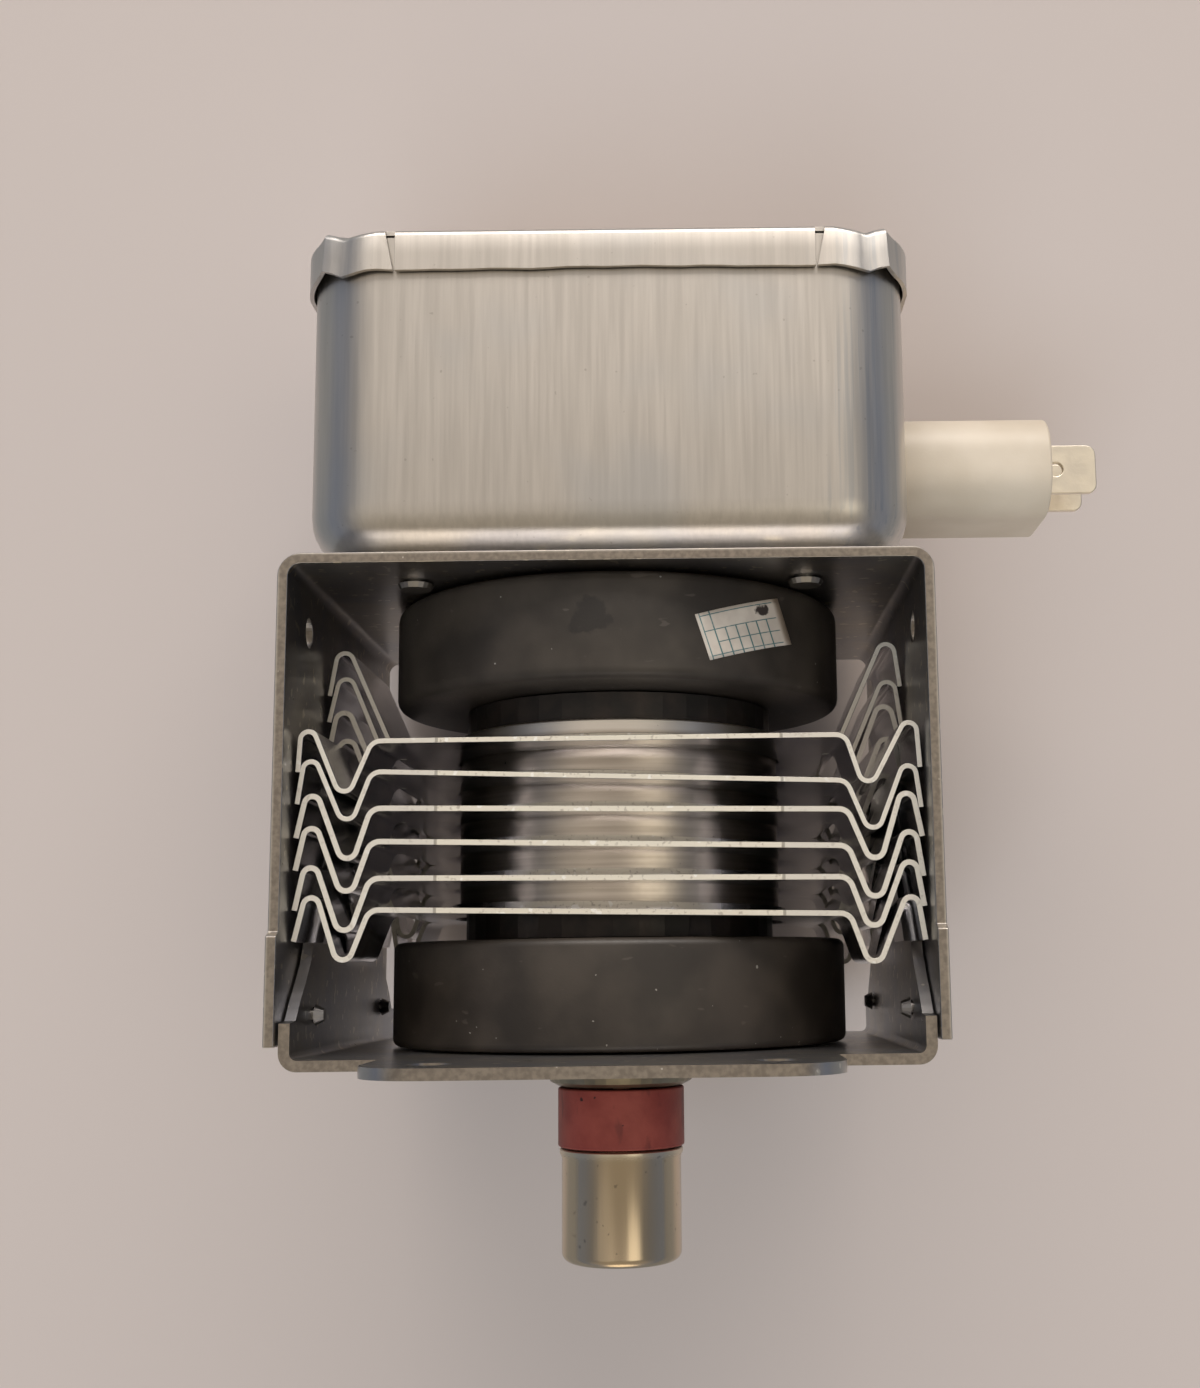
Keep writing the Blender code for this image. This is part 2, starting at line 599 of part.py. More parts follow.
# Thin steel shells carry the vacuum from the pole pieces to the two ceramics
def shells():
    inside = SHELL_RADIUS - SHELL_WALL
    seat = ANODE_INPUT_END - 2 * GAP - POLE_SHEET
    end = BOX_BOTTOM - INPUT_SHELL_REACH
    turned("input_shell", [
        (SHELL_FLANGE_RADIUS, seat), (SHELL_FLANGE_RADIUS, seat - SHELL_WALL),
        (SHELL_RADIUS, seat - SHELL_WALL), (SHELL_RADIUS, end), (inside, end), (inside, seat),
    ], SHELL_STEEL)
    seat = ANODE_OUTPUT_END + 2 * GAP + POLE_SHEET
    shoulder = SHELL_RADIUS - SHELL_NECK_RADIUS
    neck = SHELL_NECK_RADIUS - SHELL_WALL
    turned("output_shell", [
        (SHELL_NECK_RADIUS, SHELL_RISE), (SHELL_RADIUS - shoulder / 3, SHELL_RISE - shoulder / 3),
        (SHELL_RADIUS, SHELL_RISE - shoulder), (SHELL_RADIUS, seat + SHELL_WALL),
        (SHELL_FLANGE_RADIUS, seat + SHELL_WALL), (SHELL_FLANGE_RADIUS, seat), (inside, seat),
        (inside, SHELL_RISE - shoulder - SHELL_WALL / 2), (neck, SHELL_RISE - SHELL_WALL),
        (neck, SHELL_RISE),
    ], SHELL_STEEL)


def antenna():
    turned("antenna_insulator", [
        (ANTENNA_CERAMIC_RADIUS, CERAMIC_END), (ANTENNA_CERAMIC_RADIUS, CERAMIC_BASE),
        (ANTENNA_CERAMIC_BORE, CERAMIC_BASE), (ANTENNA_CERAMIC_BORE, CERAMIC_END),
    ], RED_CERAMIC)
    top, corner, inside = CAP_BASE + CAP_HEIGHT, CAP_CORNER, CAP_RADIUS - CAP_WALL
    outer, inner = [], []
    for i in range(4):
        angle = math.pi / 2 * i / 3
        outer.append((CAP_RADIUS - corner + corner * math.sin(angle),
                      top - corner + corner * math.cos(angle)))
        inner.append((inside - corner + CAP_WALL + (corner - CAP_WALL) * math.sin(angle),
                      top - corner + (corner - CAP_WALL) * math.cos(angle)))
    lip = CAP_BASE + 2 * CAP_WALL
    profile = [(0.0, top)] + outer + [(CAP_RADIUS, lip), (CAP_RADIUS + CAP_LIP, CAP_BASE),
                                      (inside, CAP_BASE)]
    turned("antenna_cap", profile + list(reversed(inner)) + [(0.0, top - CAP_WALL)], CAP_STEEL,
           closed=False)
    bore = EXHAUST_RADIUS - EXHAUST_WALL
    tip, base = CAP_BASE + EXHAUST_HEIGHT, CAP_BASE
    turned("exhaust_tube", [
        (0.0, tip), (EXHAUST_WALL, tip), (EXHAUST_RADIUS, tip - 2 * EXHAUST_WALL),
        (EXHAUST_RADIUS, base + EXHAUST_WALL), (EXHAUST_FLANGE_RADIUS, base + EXHAUST_WALL),
        (EXHAUST_FLANGE_RADIUS, base), (bore, base), (bore, tip - 3 * EXHAUST_WALL),
        (0.0, tip - 2 * EXHAUST_WALL),
    ], COPPER, SMALL_STEPS, closed=False)
    wire("antenna_rod", rod_path(), ROD_RADIUS, COPPER)


def stem():
    holes = [circle(0.0, side * STEM_LEAD_OFFSET, LEAD_RADIUS + GAP, 16) for side in (-1, 1)]
    item = flat_piece("stem_insulator", [circle(0, 0, STEM_RADIUS, 40)] + holes, STEM_HEIGHT,
                      STEM_CERAMIC)
    item.location = (0, 0, STEM_END + STEM_HEIGHT / 2)


# How far a fin's leg may reach: to the yoke wall, or to the ear where that stands behind it
def leg_reach(level, y):
    behind_ear = abs(y) < ear_half_depth(-level) + GAP and -level < EAR_OUTLINE[-1][0]
    return NEAR_REACH if behind_ear else FAR_REACH


# Section of a tab: from the fin's flat to the leg that leans on the wall
def tab_section(level, reach, middle):
    start = (FIN_BEND_X - FIN_CORNER, level)
    if middle:
        share = 1.0 if reach == FAR_REACH else 0.5
        crest = (reach - share * MIDDLE_CREST_INSET, level - MIDDLE_CREST_RISE)
        corners = [start, (FIN_BEND_X, level), crest, (reach, crest[1] + share * MIDDLE_LEG_DROP)]
    else:
        squeeze = (reach - FIN_BEND_X) / (FAR_REACH - FIN_BEND_X)
        crest = reach - squeeze * CREST_INSET
        rise = CREST_RISE * (1.0 if reach == FAR_REACH else NEAR_CREST_SHARE)
        corners = [start, (FIN_BEND_X, level), (VALLEY_X, level + VALLEY_DROP),
                   (crest, level - rise), (reach, level + LEG_DROP)]
    return bent_path(corners, FIN_CORNER, 2)[1:]


# The tabs of one side, each as places along its depth with the reach there
def tab_stops(level):
    leg_end = level + LEG_DROP
    inner = MIDDLE_TAB_HALF_DEPTH + FIN_SLIT
    near, far = leg_reach(leg_end, inner), leg_reach(leg_end, FIN_HALF_DEPTH)
    outer_tab = [(inner, near), (FIN_HALF_DEPTH, far)]
    if near < far:
        beside_ear = ear_half_depth(-leg_end) + FIN_SHEET
        outer_tab[1:1] = [(beside_ear, near), (beside_ear + FIN_CORNER, far)]
    reach = leg_reach(level - MIDDLE_CREST_RISE + MIDDLE_LEG_DROP, 0.0)
    middle_tab = [(-MIDDLE_TAB_HALF_DEPTH, reach), (MIDDLE_TAB_HALF_DEPTH, reach)]
    return [([(-y, x) for y, x in reversed(outer_tab)], False), (middle_tab, True), (outer_tab, False)]


# A fin: a flat with a collar round the anode, and three tabs a side bent between anode and wall
def fin(number):
    level = -FIN_FIRST_LEVEL + number * FIN_PITCH
    tabs = tab_stops(level)
    shape = bmesh.new()
    roots = {}
    border = []
    for side in (1, -1):
        column = []
        for stops, middle in tabs:
            for y, reach in stops:
                x = tab_section(level, reach, middle)[0][0]
                roots[side, y] = shape.verts.new((side * x, y, level))
                column.append(roots[side, y])
        border += column if side > 0 else list(reversed(column))
    hole_radius = ANODE_RADIUS + GAP + FIN_SHEET / 2
    hole = [shape.verts.new((x, y, level)) for x, y in circle(0, 0, hole_radius, ROUND_STEPS)]
    loops = []
    for loop in (border, hole):
        loops += [shape.edges.new((a, b)) for a, b in zip(loop, loop[1:] + loop[:1])]
    bmesh.ops.triangle_fill(shape, use_beauty=True, edges=loops)
    collar = [shape.verts.new((v.co.x, v.co.y, level - FIN_COLLAR)) for v in hole]
    for i in range(len(hole)):
        after = (i + 1) % len(hole)
        shape.faces.new((hole[i], hole[after], collar[after], collar[i]))
    for side in (1, -1):
        for stops, middle in tabs:
            lines = []
            for y, reach in stops:
                section = tab_section(level, reach, middle)[1:]
                lines.append([roots[side, y]] + [shape.verts.new((side * x, y, z)) for x, z in section])
            for near, far in zip(lines, lines[1:]):
                for i in range(len(near) - 1):
                    shape.faces.new((near[i], far[i], far[i + 1], near[i + 1]))
    return add_wall(add_bmesh(f"fin_{number + 1}", shape, FIN_ALUMINIUM), FIN_SHEET)


# A drawn shell: rings of points from the middle of its flat end to its open rim
def drawn_shell(name, rings, material, thickness):
    shape = bmesh.new()
    loops = [[shape.verts.new(point) for point in ring] for ring in rings]
    shape.faces.new(loops[0])
    for near, far in zip(loops, loops[1:]):
        for i in range(len(near)):
            after = (i + 1) % len(near)
            shape.faces.new((near[i], near[after], far[after], far[i]))
    return add_wall(add_bmesh(name, shape, material), thickness)


def filter_box():
    half_sheet = BOX_SHEET / 2
    radius = BOX_BOTTOM_RADIUS - half_sheet
    rings = []
    for i in range(5):
        angle = math.pi / 2 * i / 4
        inset = half_sheet + radius * (1 - math.sin(angle))
        level = BOX_BOTTOM - half_sheet - radius * (1 - math.cos(angle))
        outline = rounded_rectangle(BOX_HALF_WIDTH - inset, BOX_HALF_DEPTH - inset, BOX_CORNER - inset)
        rings.append([(x, y, level) for x, y in outline])
    outline = rounded_rectangle(BOX_HALF_WIDTH - half_sheet, BOX_HALF_DEPTH - half_sheet,
                                BOX_CORNER - half_sheet)
    rings.append([(x, y, BOX_RIM) for x, y in outline])
    box = drawn_shell("filter_box", rings, BOX_STEEL, BOX_SHEET)
    bottom = BOX_BOTTOM - half_sheet
    holes = [((0, 0, bottom), (0, 0, 1), SHELL_RADIUS + GAP)]
    for side_x in (-1, 1):
        for side_y in (-1, 1):
            holes.append(((side_x * BOX_RIVET_X, side_y * BOX_RIVET_Y, bottom), (0, 0, 1),
                          RIVET_RADIUS + RIVET_CLEARANCE))
    cut(box, drills("box_drills", holes, 4 * BOX_SHEET))
    window = flat_piece("case_window", [case_outline(GAP)], 6 * BOX_SHEET, None, CUTTERS)
    stand_on_side(window, BOX_HALF_WIDTH)
    return cut(box, as_mesh(window))


# Puts a flat piece's own X upward along the axis, its own Y along Y and its thickness along X
def stand_on_side(item, x):
    item.location = (x, 0, TERMINAL_LEVEL)
    item.rotation_euler = (0, -math.pi / 2, 0)


def case_outline(clearance):
    return rounded_rectangle(CASE_HALF_HEIGHT + clearance, CASE_HALF_DEPTH + clearance,
                             CASE_CORNER + clearance, 4)


# The lid: a shallow pan over the rim, its lip a little longer at the sides and slit near the corners
def filter_lid():
    half_sheet = LID_SHEET / 2
    half_x, half_y = LID_HALF_WIDTH - half_sheet, LID_HALF_DEPTH - half_sheet
    corner = BOX_CORNER + GAP + half_sheet
    rings = []
    for i in range(4):
        angle = math.pi / 2 * i / 3
        inset = LID_EDGE * (1 - math.sin(angle))
        level = LID_TOP + half_sheet + LID_EDGE * (1 - math.cos(angle))
        outline = rounded_rectangle(half_x - inset, half_y - inset, corner - inset)
        rings.append([(x, y, level) for x, y in outline])
    rings.append([])
    for x, y in rounded_rectangle(half_x, half_y, corner):
        beside = min(max((abs(x) - half_x + corner) / corner, 0.0), 1.0)
        rings[-1].append((x, y, LID_TOP + LID_LIP + beside * (LID_SIDE_LIP - LID_LIP)))
    lid = drawn_shell("filter_lid", rings, BOX_STEEL, LID_SHEET)
    shape = bmesh.new()
    reach = 4 * LID_SHEET
    for side_x in (-1, 1):
        for side_y in (-1, 1):
            for inner, back, turn in (
                    (LID_SLIT_X, 0.0, 0.0),
                    (LID_HALF_WIDTH - LID_CORNER_SLIT_INSET * corner, LID_CORNER_SLIT_BACK * corner,
                     LID_CORNER_SLIT_TURN)):
                place_y = side_y * (LID_HALF_DEPTH - back)
                outline = [(0.0, LID_TOP - LID_SHEET), (LID_SLIT_WIDTH, LID_TOP - LID_SHEET),
                           (LID_SLIT_POINT, LID_TOP + LID_SIDE_LIP), (0.0, LID_TOP + LID_SIDE_LIP)]
                spin = Matrix.Rotation(-side_x * side_y * turn, 4, "Z")
                corners = []
                for end in (-reach, reach):
                    for x, z in outline:
                        spot = spin @ Vector((side_x * x, end, 0.0))
                        corners.append(shape.verts.new((side_x * inner + spot.x, place_y + spot.y, z)))
                near, far = corners[:4], corners[4:]
                shape.faces.new(near)
                shape.faces.new(far)
                for i in range(4):
                    after = (i + 1) % 4
                    shape.faces.new((near[i], near[after], far[after], far[i]))
    return cut(lid, add_bmesh("lid_slits", shape, None, CUTTERS))


# The feedthrough capacitor: a moulded case through the box wall, with two blades
def capacitor():
    inner_end = BOX_HALF_WIDTH - CASE_INSIDE
    outer_end = BOX_HALF_WIDTH + CASE_REACH
    slots = []
    for side in (-1, 1):
        high, deep = BLADE_HALF_HEIGHT + GAP, BLADE_THICKNESS / 2 + GAP
        middle = side * BLADE_SPACING / 2
        slots.append([(high, middle - deep), (high, middle + deep), (-high, middle + deep),
                      (-high, middle - deep)])
    case = flat_piece("capacitor_case", [case_outline(0.0)] + slots, outer_end - inner_end, CASE_PLASTIC)
    stand_on_side(case, (inner_end + outer_end) / 2)
    outer = rounded_rectangle(FLANGE_HALF_HEIGHT, FLANGE_HALF_DEPTH, CASE_CORNER)
    flange = flat_piece("capacitor_flange", [outer, case_outline(GAP)], FLANGE_SHEET, YOKE_STEEL)
    stand_on_side(flange, BOX_HALF_WIDTH - BOX_SHEET - GAP - FLANGE_SHEET / 2)
    start, tip = inner_end - BLADE_INSIDE, outer_end + BLADE_REACH
    high, nose = BLADE_HALF_HEIGHT, BLADE_CHAMFER
    outline = [(start, -high), (tip - nose, -high), (tip, nose - high), (tip, high - nose),
               (tip - nose, high), (start, high)]
    hole = circle(tip - 2 * BLADE_HALF_HEIGHT + nose, 0.0, BLADE_HOLE, 16)
    for name, side in (("terminal_blade_front", 1), ("terminal_blade_rear", -1)):
        blade = flat_piece(name, [outline, hole], BLADE_THICKNESS, BLADE_TIN)
        blade.location = (0, side * BLADE_SPACING / 2, TERMINAL_LEVEL)
        blade.rotation_euler = (math.pi / 2, 0, 0)


# Chokes: a winding of enamelled wire on a ferrite rod, between a cathode lead and a blade
def chokes():
    level = BOX_RIM + CHOKE_ABOVE_RIM
    steps = 10
    blade_end = BOX_HALF_WIDTH - CASE_INSIDE - BLADE_INSIDE
    for side, place in ((1, "front"), (-1, "rear")):
        middle = side * CHOKE_OFFSET
        reach = LEAD_RADIUS + CHOKE_WIRE + GAP
        points = [(-reach, side * STEM_LEAD_OFFSET, LEAD_END + LEAD_RADIUS),
                  (-3 * reach, side * STEM_LEAD_OFFSET, LEAD_END - 2 * LEAD_RADIUS)]
        for i in range(CHOKE_TURNS * steps + 1):
            angle = 2 * math.pi * i / steps
            along = -CHOKE_LENGTH / 2 + CHOKE_LENGTH * i / (CHOKE_TURNS * steps)
            points.append((along, middle - side * CHOKE_RADIUS * math.cos(angle),
                           level + CHOKE_RADIUS * math.sin(angle)))
        points += [(blade_end - 4 * CHOKE_WIRE, side * BLADE_SPACING / 2, TERMINAL_LEVEL),
                   (blade_end - GAP, side * BLADE_SPACING / 2, TERMINAL_LEVEL)]
        wire(f"choke_coil_{place}", points, CHOKE_WIRE, ENAMEL, 0)
        bpy.ops.mesh.primitive_cylinder_add(
            vertices=SMALL_STEPS, radius=CHOKE_RADIUS - CHOKE_WIRE - CORE_CLEARANCE, depth=CHOKE_LENGTH,
        )
        core = bpy.context.object
        core.name = f"choke_core_{place}"
        core.data.materials.append(CORE_FERRITE)
        for collection in list(core.users_collection):
            collection.objects.unlink(core)
        PART.objects.link(core)
        core.parent = FRAME
        core.location = (0, middle, level)
        core.rotation_euler = (0, math.pi / 2, 0)


def rivets():
    low = BOX_BOTTOM - BOX_SHEET - GAP
    high = YOKE_TOP + SHEET + GAP
    for number, (side_x, side_y) in enumerate(((-1, 1), (1, 1), (1, -1), (-1, -1))):
        rivet = turned(f"box_rivet_{number + 1}", [
            (0.0, high + RIVET_HEAD), (RIVET_HEAD_RADIUS - RIVET_HEAD / 2, high + RIVET_HEAD),
            (RIVET_HEAD_RADIUS, high), (RIVET_RADIUS, high), (RIVET_RADIUS, low),
            (RIVET_HEAD_RADIUS, low), (RIVET_HEAD_RADIUS - RIVET_HEAD / 2, low - RIVET_HEAD),
            (0.0, low - RIVET_HEAD),
        ], BOX_STEEL, 20, closed=False)
        rivet.location = (side_x * BOX_RIVET_X, side_y * BOX_RIVET_Y, 0)
    outside, inside = YOKE_HALF_WIDTH + GAP, EAR_INSIDE - GAP
    flat = SIDE_RIVET_HEAD / 3
    for side, place in ((-1, "left"), (1, "right")):
        for (forward, height), spot in zip(SIDE_RIVETS, ("front", "back")):
            rivet = turned(f"side_rivet_{place}_{spot}", [
                (0.0, outside + flat), (SIDE_RIVET_HEAD_RADIUS - flat, outside + flat),
                (SIDE_RIVET_HEAD_RADIUS, outside), (SIDE_RIVET_RADIUS, outside),
                (SIDE_RIVET_RADIUS, inside), (SIDE_RIVET_HEAD_RADIUS, inside),
                (SIDE_RIVET_RADIUS, inside - SIDE_RIVET_HEAD), (0.0, inside - SIDE_RIVET_HEAD),
            ], YOKE_STEEL, 16, closed=False)
            rivet.location = (0, forward, -height)
            rivet.rotation_euler = (0, side * math.pi / 2, 0)


# Lays the part on its back: the rear tab's edge and the lid's rear lip touch the ground together
def lay_down():
    tilt = math.atan2(TAB_REACH - LID_HALF_DEPTH, -SHEET - LID_TOP - LID_EDGE)
    FRAME.rotation_euler = (math.pi / 2 - tilt, 0, 0)
    bpy.context.view_layer.update()
    graph = bpy.context.evaluated_depsgraph_get()
    low = Vector((math.inf,) * 3)
    high = Vector((-math.inf,) * 3)
    for item in PART.objects:
        if item.type == "EMPTY":
            continue
        solid = item.evaluated_get(graph)
        mesh = solid.to_mesh()
        for vertex in mesh.vertices:
            place = solid.matrix_world @ vertex.co
            low = Vector(map(min, low, place))
            high = Vector(map(max, high, place))
        solid.to_mesh_clear()
    FRAME.location = (-(low.x + high.x) / 2, -(low.y + high.y) / 2, -low.z)
    bpy.context.view_layer.update()


yoke()
mounting_plate()
magnets()
anode()
vanes()
straps()
pole_pieces()
cathode()
shells()
antenna()
stem()
for fin_number in range(FIN_COUNT):
    fin(fin_number)
filter_box()
filter_lid()
capacitor()
chokes()
rivets()
lay_down()
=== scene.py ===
import math

import bmesh
import bpy
import numpy as np
from mathutils import Matrix, Vector


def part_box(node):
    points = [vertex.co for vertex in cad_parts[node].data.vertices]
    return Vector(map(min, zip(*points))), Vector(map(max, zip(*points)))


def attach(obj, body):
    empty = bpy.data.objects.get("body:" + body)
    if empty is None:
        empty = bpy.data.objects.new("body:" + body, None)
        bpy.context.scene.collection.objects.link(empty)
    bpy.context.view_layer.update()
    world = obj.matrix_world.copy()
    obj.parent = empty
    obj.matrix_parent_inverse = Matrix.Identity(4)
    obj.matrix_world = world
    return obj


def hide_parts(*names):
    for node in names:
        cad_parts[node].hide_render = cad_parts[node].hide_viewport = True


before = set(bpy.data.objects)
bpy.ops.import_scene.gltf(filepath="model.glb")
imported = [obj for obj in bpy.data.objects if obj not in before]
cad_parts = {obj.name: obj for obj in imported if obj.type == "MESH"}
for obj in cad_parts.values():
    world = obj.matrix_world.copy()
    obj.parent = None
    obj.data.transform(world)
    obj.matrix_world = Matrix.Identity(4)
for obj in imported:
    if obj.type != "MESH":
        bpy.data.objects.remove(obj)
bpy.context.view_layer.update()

print("frame loaded:", len(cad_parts), "solids")

# Everything is drawn in millimetres round the tube's own axis: z is 0 on the mounting plate and runs out
# along the antenna, y is the open side in front and x points to the connector. The two magnets give that
# axis. All three directions belong to the part and stay with it, from wherever it is seen.
magnetMiddles = {"magnet_input": -48.95, "magnet_output": -7.65}


def middleOf(node):
    low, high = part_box(node)
    return (np.array(low) + np.array(high)) / 2


alongAxis = middleOf("magnet_output") - middleOf("magnet_input")
alongAxis /= np.linalg.norm(alongAxis)
toFront = np.cross(alongAxis, (1.0, 0.0, 0.0))
axisOrigin = middleOf("magnet_output") - alongAxis * magnetMiddles["magnet_output"] * 0.001
toTable = np.stack([(1.0, 0.0, 0.0), toFront, alongAxis])
leanBack = math.atan2(toFront[2], toFront[1])  # turn about X that lays the axis down


def onTable(points):
    # row frame place of axis millimetres: the points times the three axis directions, plus the origin
    return np.asarray(points, float).reshape(-1, 3) @ toTable * 0.001 + axisOrigin


# Shader maths as Python expressions
class Wire:
    def __init__(self, finish, socket):
        self.finish, self.socket = finish, socket

    def maths(self, operation, first, second=0.0):
        return self.finish.node("ShaderNodeMath", {"operation": operation}, {0: first, 1: second})

    def __add__(self, other):
        return self.maths("ADD", self, other)

    def __radd__(self, other):
        return self.maths("ADD", other, self)

    def __sub__(self, other):
        return self.maths("SUBTRACT", self, other)

    def __rsub__(self, other):
        return self.maths("SUBTRACT", other, self)

    def __mul__(self, other):
        return self.maths("MULTIPLY", self, other)

    def __rmul__(self, other):
        return self.maths("MULTIPLY", other, self)

    def __abs__(self):
        return self.maths("ABSOLUTE", self)

    def lowest(self, other):
        return self.maths("MINIMUM", self, other)

    def highest(self, other):
        return self.maths("MAXIMUM", self, other)

    def rise(self, start, end):  # 0 before start, 1 past end, smooth between
        settings = {"interpolation_type": "SMOOTHSTEP"}
        return self.finish.node("ShaderNodeMapRange", settings, {0: self, 1: start, 2: end})


class NodeSheet:
    def __init__(self, tree):
        self.tree = tree

    def node(self, kind, settings=None, values=None, output=0):
        made = self.tree.nodes.new(kind)
        for key, value in (settings or {}).items():
            setattr(made, key, value)
        for key, value in (values or {}).items():
            if isinstance(value, Wire):
                self.tree.links.new(value.socket, made.inputs[key])
            else:
                made.inputs[key].default_value = value
        return Wire(self, made.outputs[output])

    def mix(self, share, first, second):
        values = {0: share}
        for key, colour in ((6, first), (7, second)):
            values[key] = colour if isinstance(colour, Wire) else (*colour, 1.0)
        return self.node("ShaderNodeMix", {"data_type": "RGBA"}, values, 2)

    def along(self, vector, direction):
        # dot product of a vector with a fixed direction
        settings = {"operation": "DOT_PRODUCT"}
        return self.node("ShaderNodeVectorMath", settings, {0: vector, 1: tuple(direction)}, "Value")


class Finish(NodeSheet):
    def __init__(self, name, metallic=0.0, roughness=0.5):
        self.material = bpy.data.materials.new(name)
        self.material.use_nodes = True
        super().__init__(self.material.node_tree)
        self.shader = self.tree.nodes["Principled BSDF"]
        self.feed("Metallic", metallic)
        self.feed("Roughness", roughness)
        coordinates = self.node("ShaderNodeTexCoord", output="Object")
        self.place = self.node("ShaderNodeMapping", {"vector_type": "TEXTURE"}, {
            "Vector": coordinates, "Location": tuple(axisOrigin), "Rotation": (leanBack, 0.0, 0.0),
            "Scale": (0.001, 0.001, 0.001),
        })
        self.x, self.y, self.z = (
            self.node("ShaderNodeSeparateXYZ", values={0: self.place}, output=axis) for axis in "XYZ")

    def feed(self, socket, value):
        if isinstance(value, Wire):
            self.tree.links.new(value.socket, self.shader.inputs[socket])
        elif isinstance(value, tuple):
            self.shader.inputs[socket].default_value = (*value, 1.0)
        else:
            self.shader.inputs[socket].default_value = value

    def noise(self, scale, detail=2.0, stretch=(1.0, 1.0, 1.0), roughness=0.5):
        # noise over the place, its grain per millimetre times the stretch on each axis
        where = self.node("ShaderNodeVectorMath", {"operation": "MULTIPLY"}, {0: self.place, 1: stretch})
        values = {"Vector": where, "Scale": scale, "Detail": detail, "Roughness": roughness}
        return self.node("ShaderNodeTexNoise", values=values)

    def facing(self, direction):
        # how squarely the surface faces a direction: dot product of its normal with it
        return self.along(self.node("ShaderNodeNewGeometry", output="Normal"), direction)

    def bump(self, height, strength, distance):
        values = {"Height": height, "Strength": strength, "Distance": distance}
        self.feed("Normal", self.node("ShaderNodeBump", values=values))


# Surfaces
def gridFaces(rows, columns, closeRows=False, closeColumns=False, start=0):
    # quads between the neighbours of a rows by columns grid of points
    index = np.arange(rows * columns).reshape(rows, columns) + start
    if closeRows:
        index = np.vstack([index, index[:1]])
    if closeColumns:
        index = np.hstack([index, index[:, :1]])
    corners = [index[:-1, :-1], index[1:, :-1], index[1:, 1:], index[:-1, 1:]]
    return np.stack(corners, -1).reshape(-1, 4)


def bendPath(corners, radius, steps=8):
    # a polyline whose inner corners are arcs, tangent to both sides, of one radius or one for each
    corners = np.array(corners, float)
    parts = [corners[:1]]
    radii = np.broadcast_to(radius, len(corners) - 2)
    for before, corner, after, radius in zip(corners[:-2], corners[1:-1], corners[2:], radii):
        into = (before - corner) / np.linalg.norm(before - corner)
        out = (after - corner) / np.linalg.norm(after - corner)
        half = math.acos(np.clip(into @ out, -1.0, 1.0)) / 2
        centre = corner + (into + out) / np.linalg.norm(into + out) * radius / math.sin(half)
        start = corner + into * radius / math.tan(half) - centre
        end = corner + out * radius / math.tan(half) - centre
        turn = math.atan2(start[0] * end[1] - start[1] * end[0], start @ end)
        angles = math.atan2(start[1], start[0]) + turn * np.linspace(0, 1, steps + 1)
        parts.append(centre + radius * np.stack([np.cos(angles), np.sin(angles)], 1))
    parts.append(corners[-1:])
    return np.concatenate(parts)


def roundedLoop(halfX, halfY, radius, steps=12, straight=1):
    # a rectangle with round corners, its straight sides cut into equal lengths
    angles = np.linspace(0, np.pi / 2, steps + 1)
    corners = []
    for quarter, (signX, signY) in enumerate(((1, 1), (-1, 1), (-1, -1), (1, -1))):
        turned = angles + quarter * np.pi / 2
        arc = np.stack([signX * (halfX - radius) + radius * np.cos(turned),
                        signY * (halfY - radius) + radius * np.sin(turned)], 1)
        corners.append(arc)
    parts = []
    for here, after in zip(corners, corners[1:] + corners[:1]):
        share = np.linspace(0, 1, straight + 1)[1:-1, None]
        parts += [here, here[-1] * (1 - share) + after[0] * share]
    return np.concatenate(parts)


def turnedGrid(profile, steps=96):
    # a closed profile of (radius, height) carried round the axis
    profile = np.asarray(profile, float)
    angles = np.linspace(0, 2 * np.pi, steps, endpoint=False)
    radius, height = profile[:, :1], profile[:, 1:]
    points = np.stack([radius * np.cos(angles), radius * np.sin(angles), height + 0 * angles], -1)
    return points, gridFaces(len(profile), steps, False, True)


def roundedProfile(corners, radius, steps=4):
    # a closed loop of (radius, height) with all its corners rounded
    corners = [tuple(corner) for corner in corners]
    middle = tuple((np.array(corners[0]) + np.array(corners[-1])) / 2)
    return bendPath([middle] + corners + [middle], radius, steps)


def addPiece(name, points, faces, finish, replaced=(), merge=0.004, sharp=35):
    mesh = bpy.data.meshes.new(name)
    mesh.from_pydata(onTable(points).tolist(), [], np.asarray(faces).tolist())
    shape = bmesh.new()
    shape.from_mesh(mesh)
    bmesh.ops.remove_doubles(shape, verts=shape.verts, dist=merge * 0.001)
    bmesh.ops.recalc_face_normals(shape, faces=shape.faces)
    shape.to_mesh(mesh)
    shape.free()
    mesh.shade_smooth()
    mesh.set_sharp_from_angle(angle=math.radians(sharp))
    piece = bpy.data.objects.new(name, mesh)
    bpy.context.scene.collection.objects.link(piece)
    mesh.materials.append(finish.material)
    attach(piece, "root")
    if replaced:
        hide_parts(*replaced)
    return piece


def addWall(piece, thickness):
    wall = piece.modifiers.new("wall", "SOLIDIFY")
    wall.thickness = thickness * 0.001
    wall.offset = 0.0
    wall.use_even_offset = True


def addEdgeRound(piece, width, angle=40, segments=2):
    edge = piece.modifiers.new("edge", "BEVEL")
    edge.width = width * 0.001
    edge.segments = segments
    edge.limit_method = "ANGLE"
    edge.angle_limit = math.radians(angle)
    edge.harden_normals = True


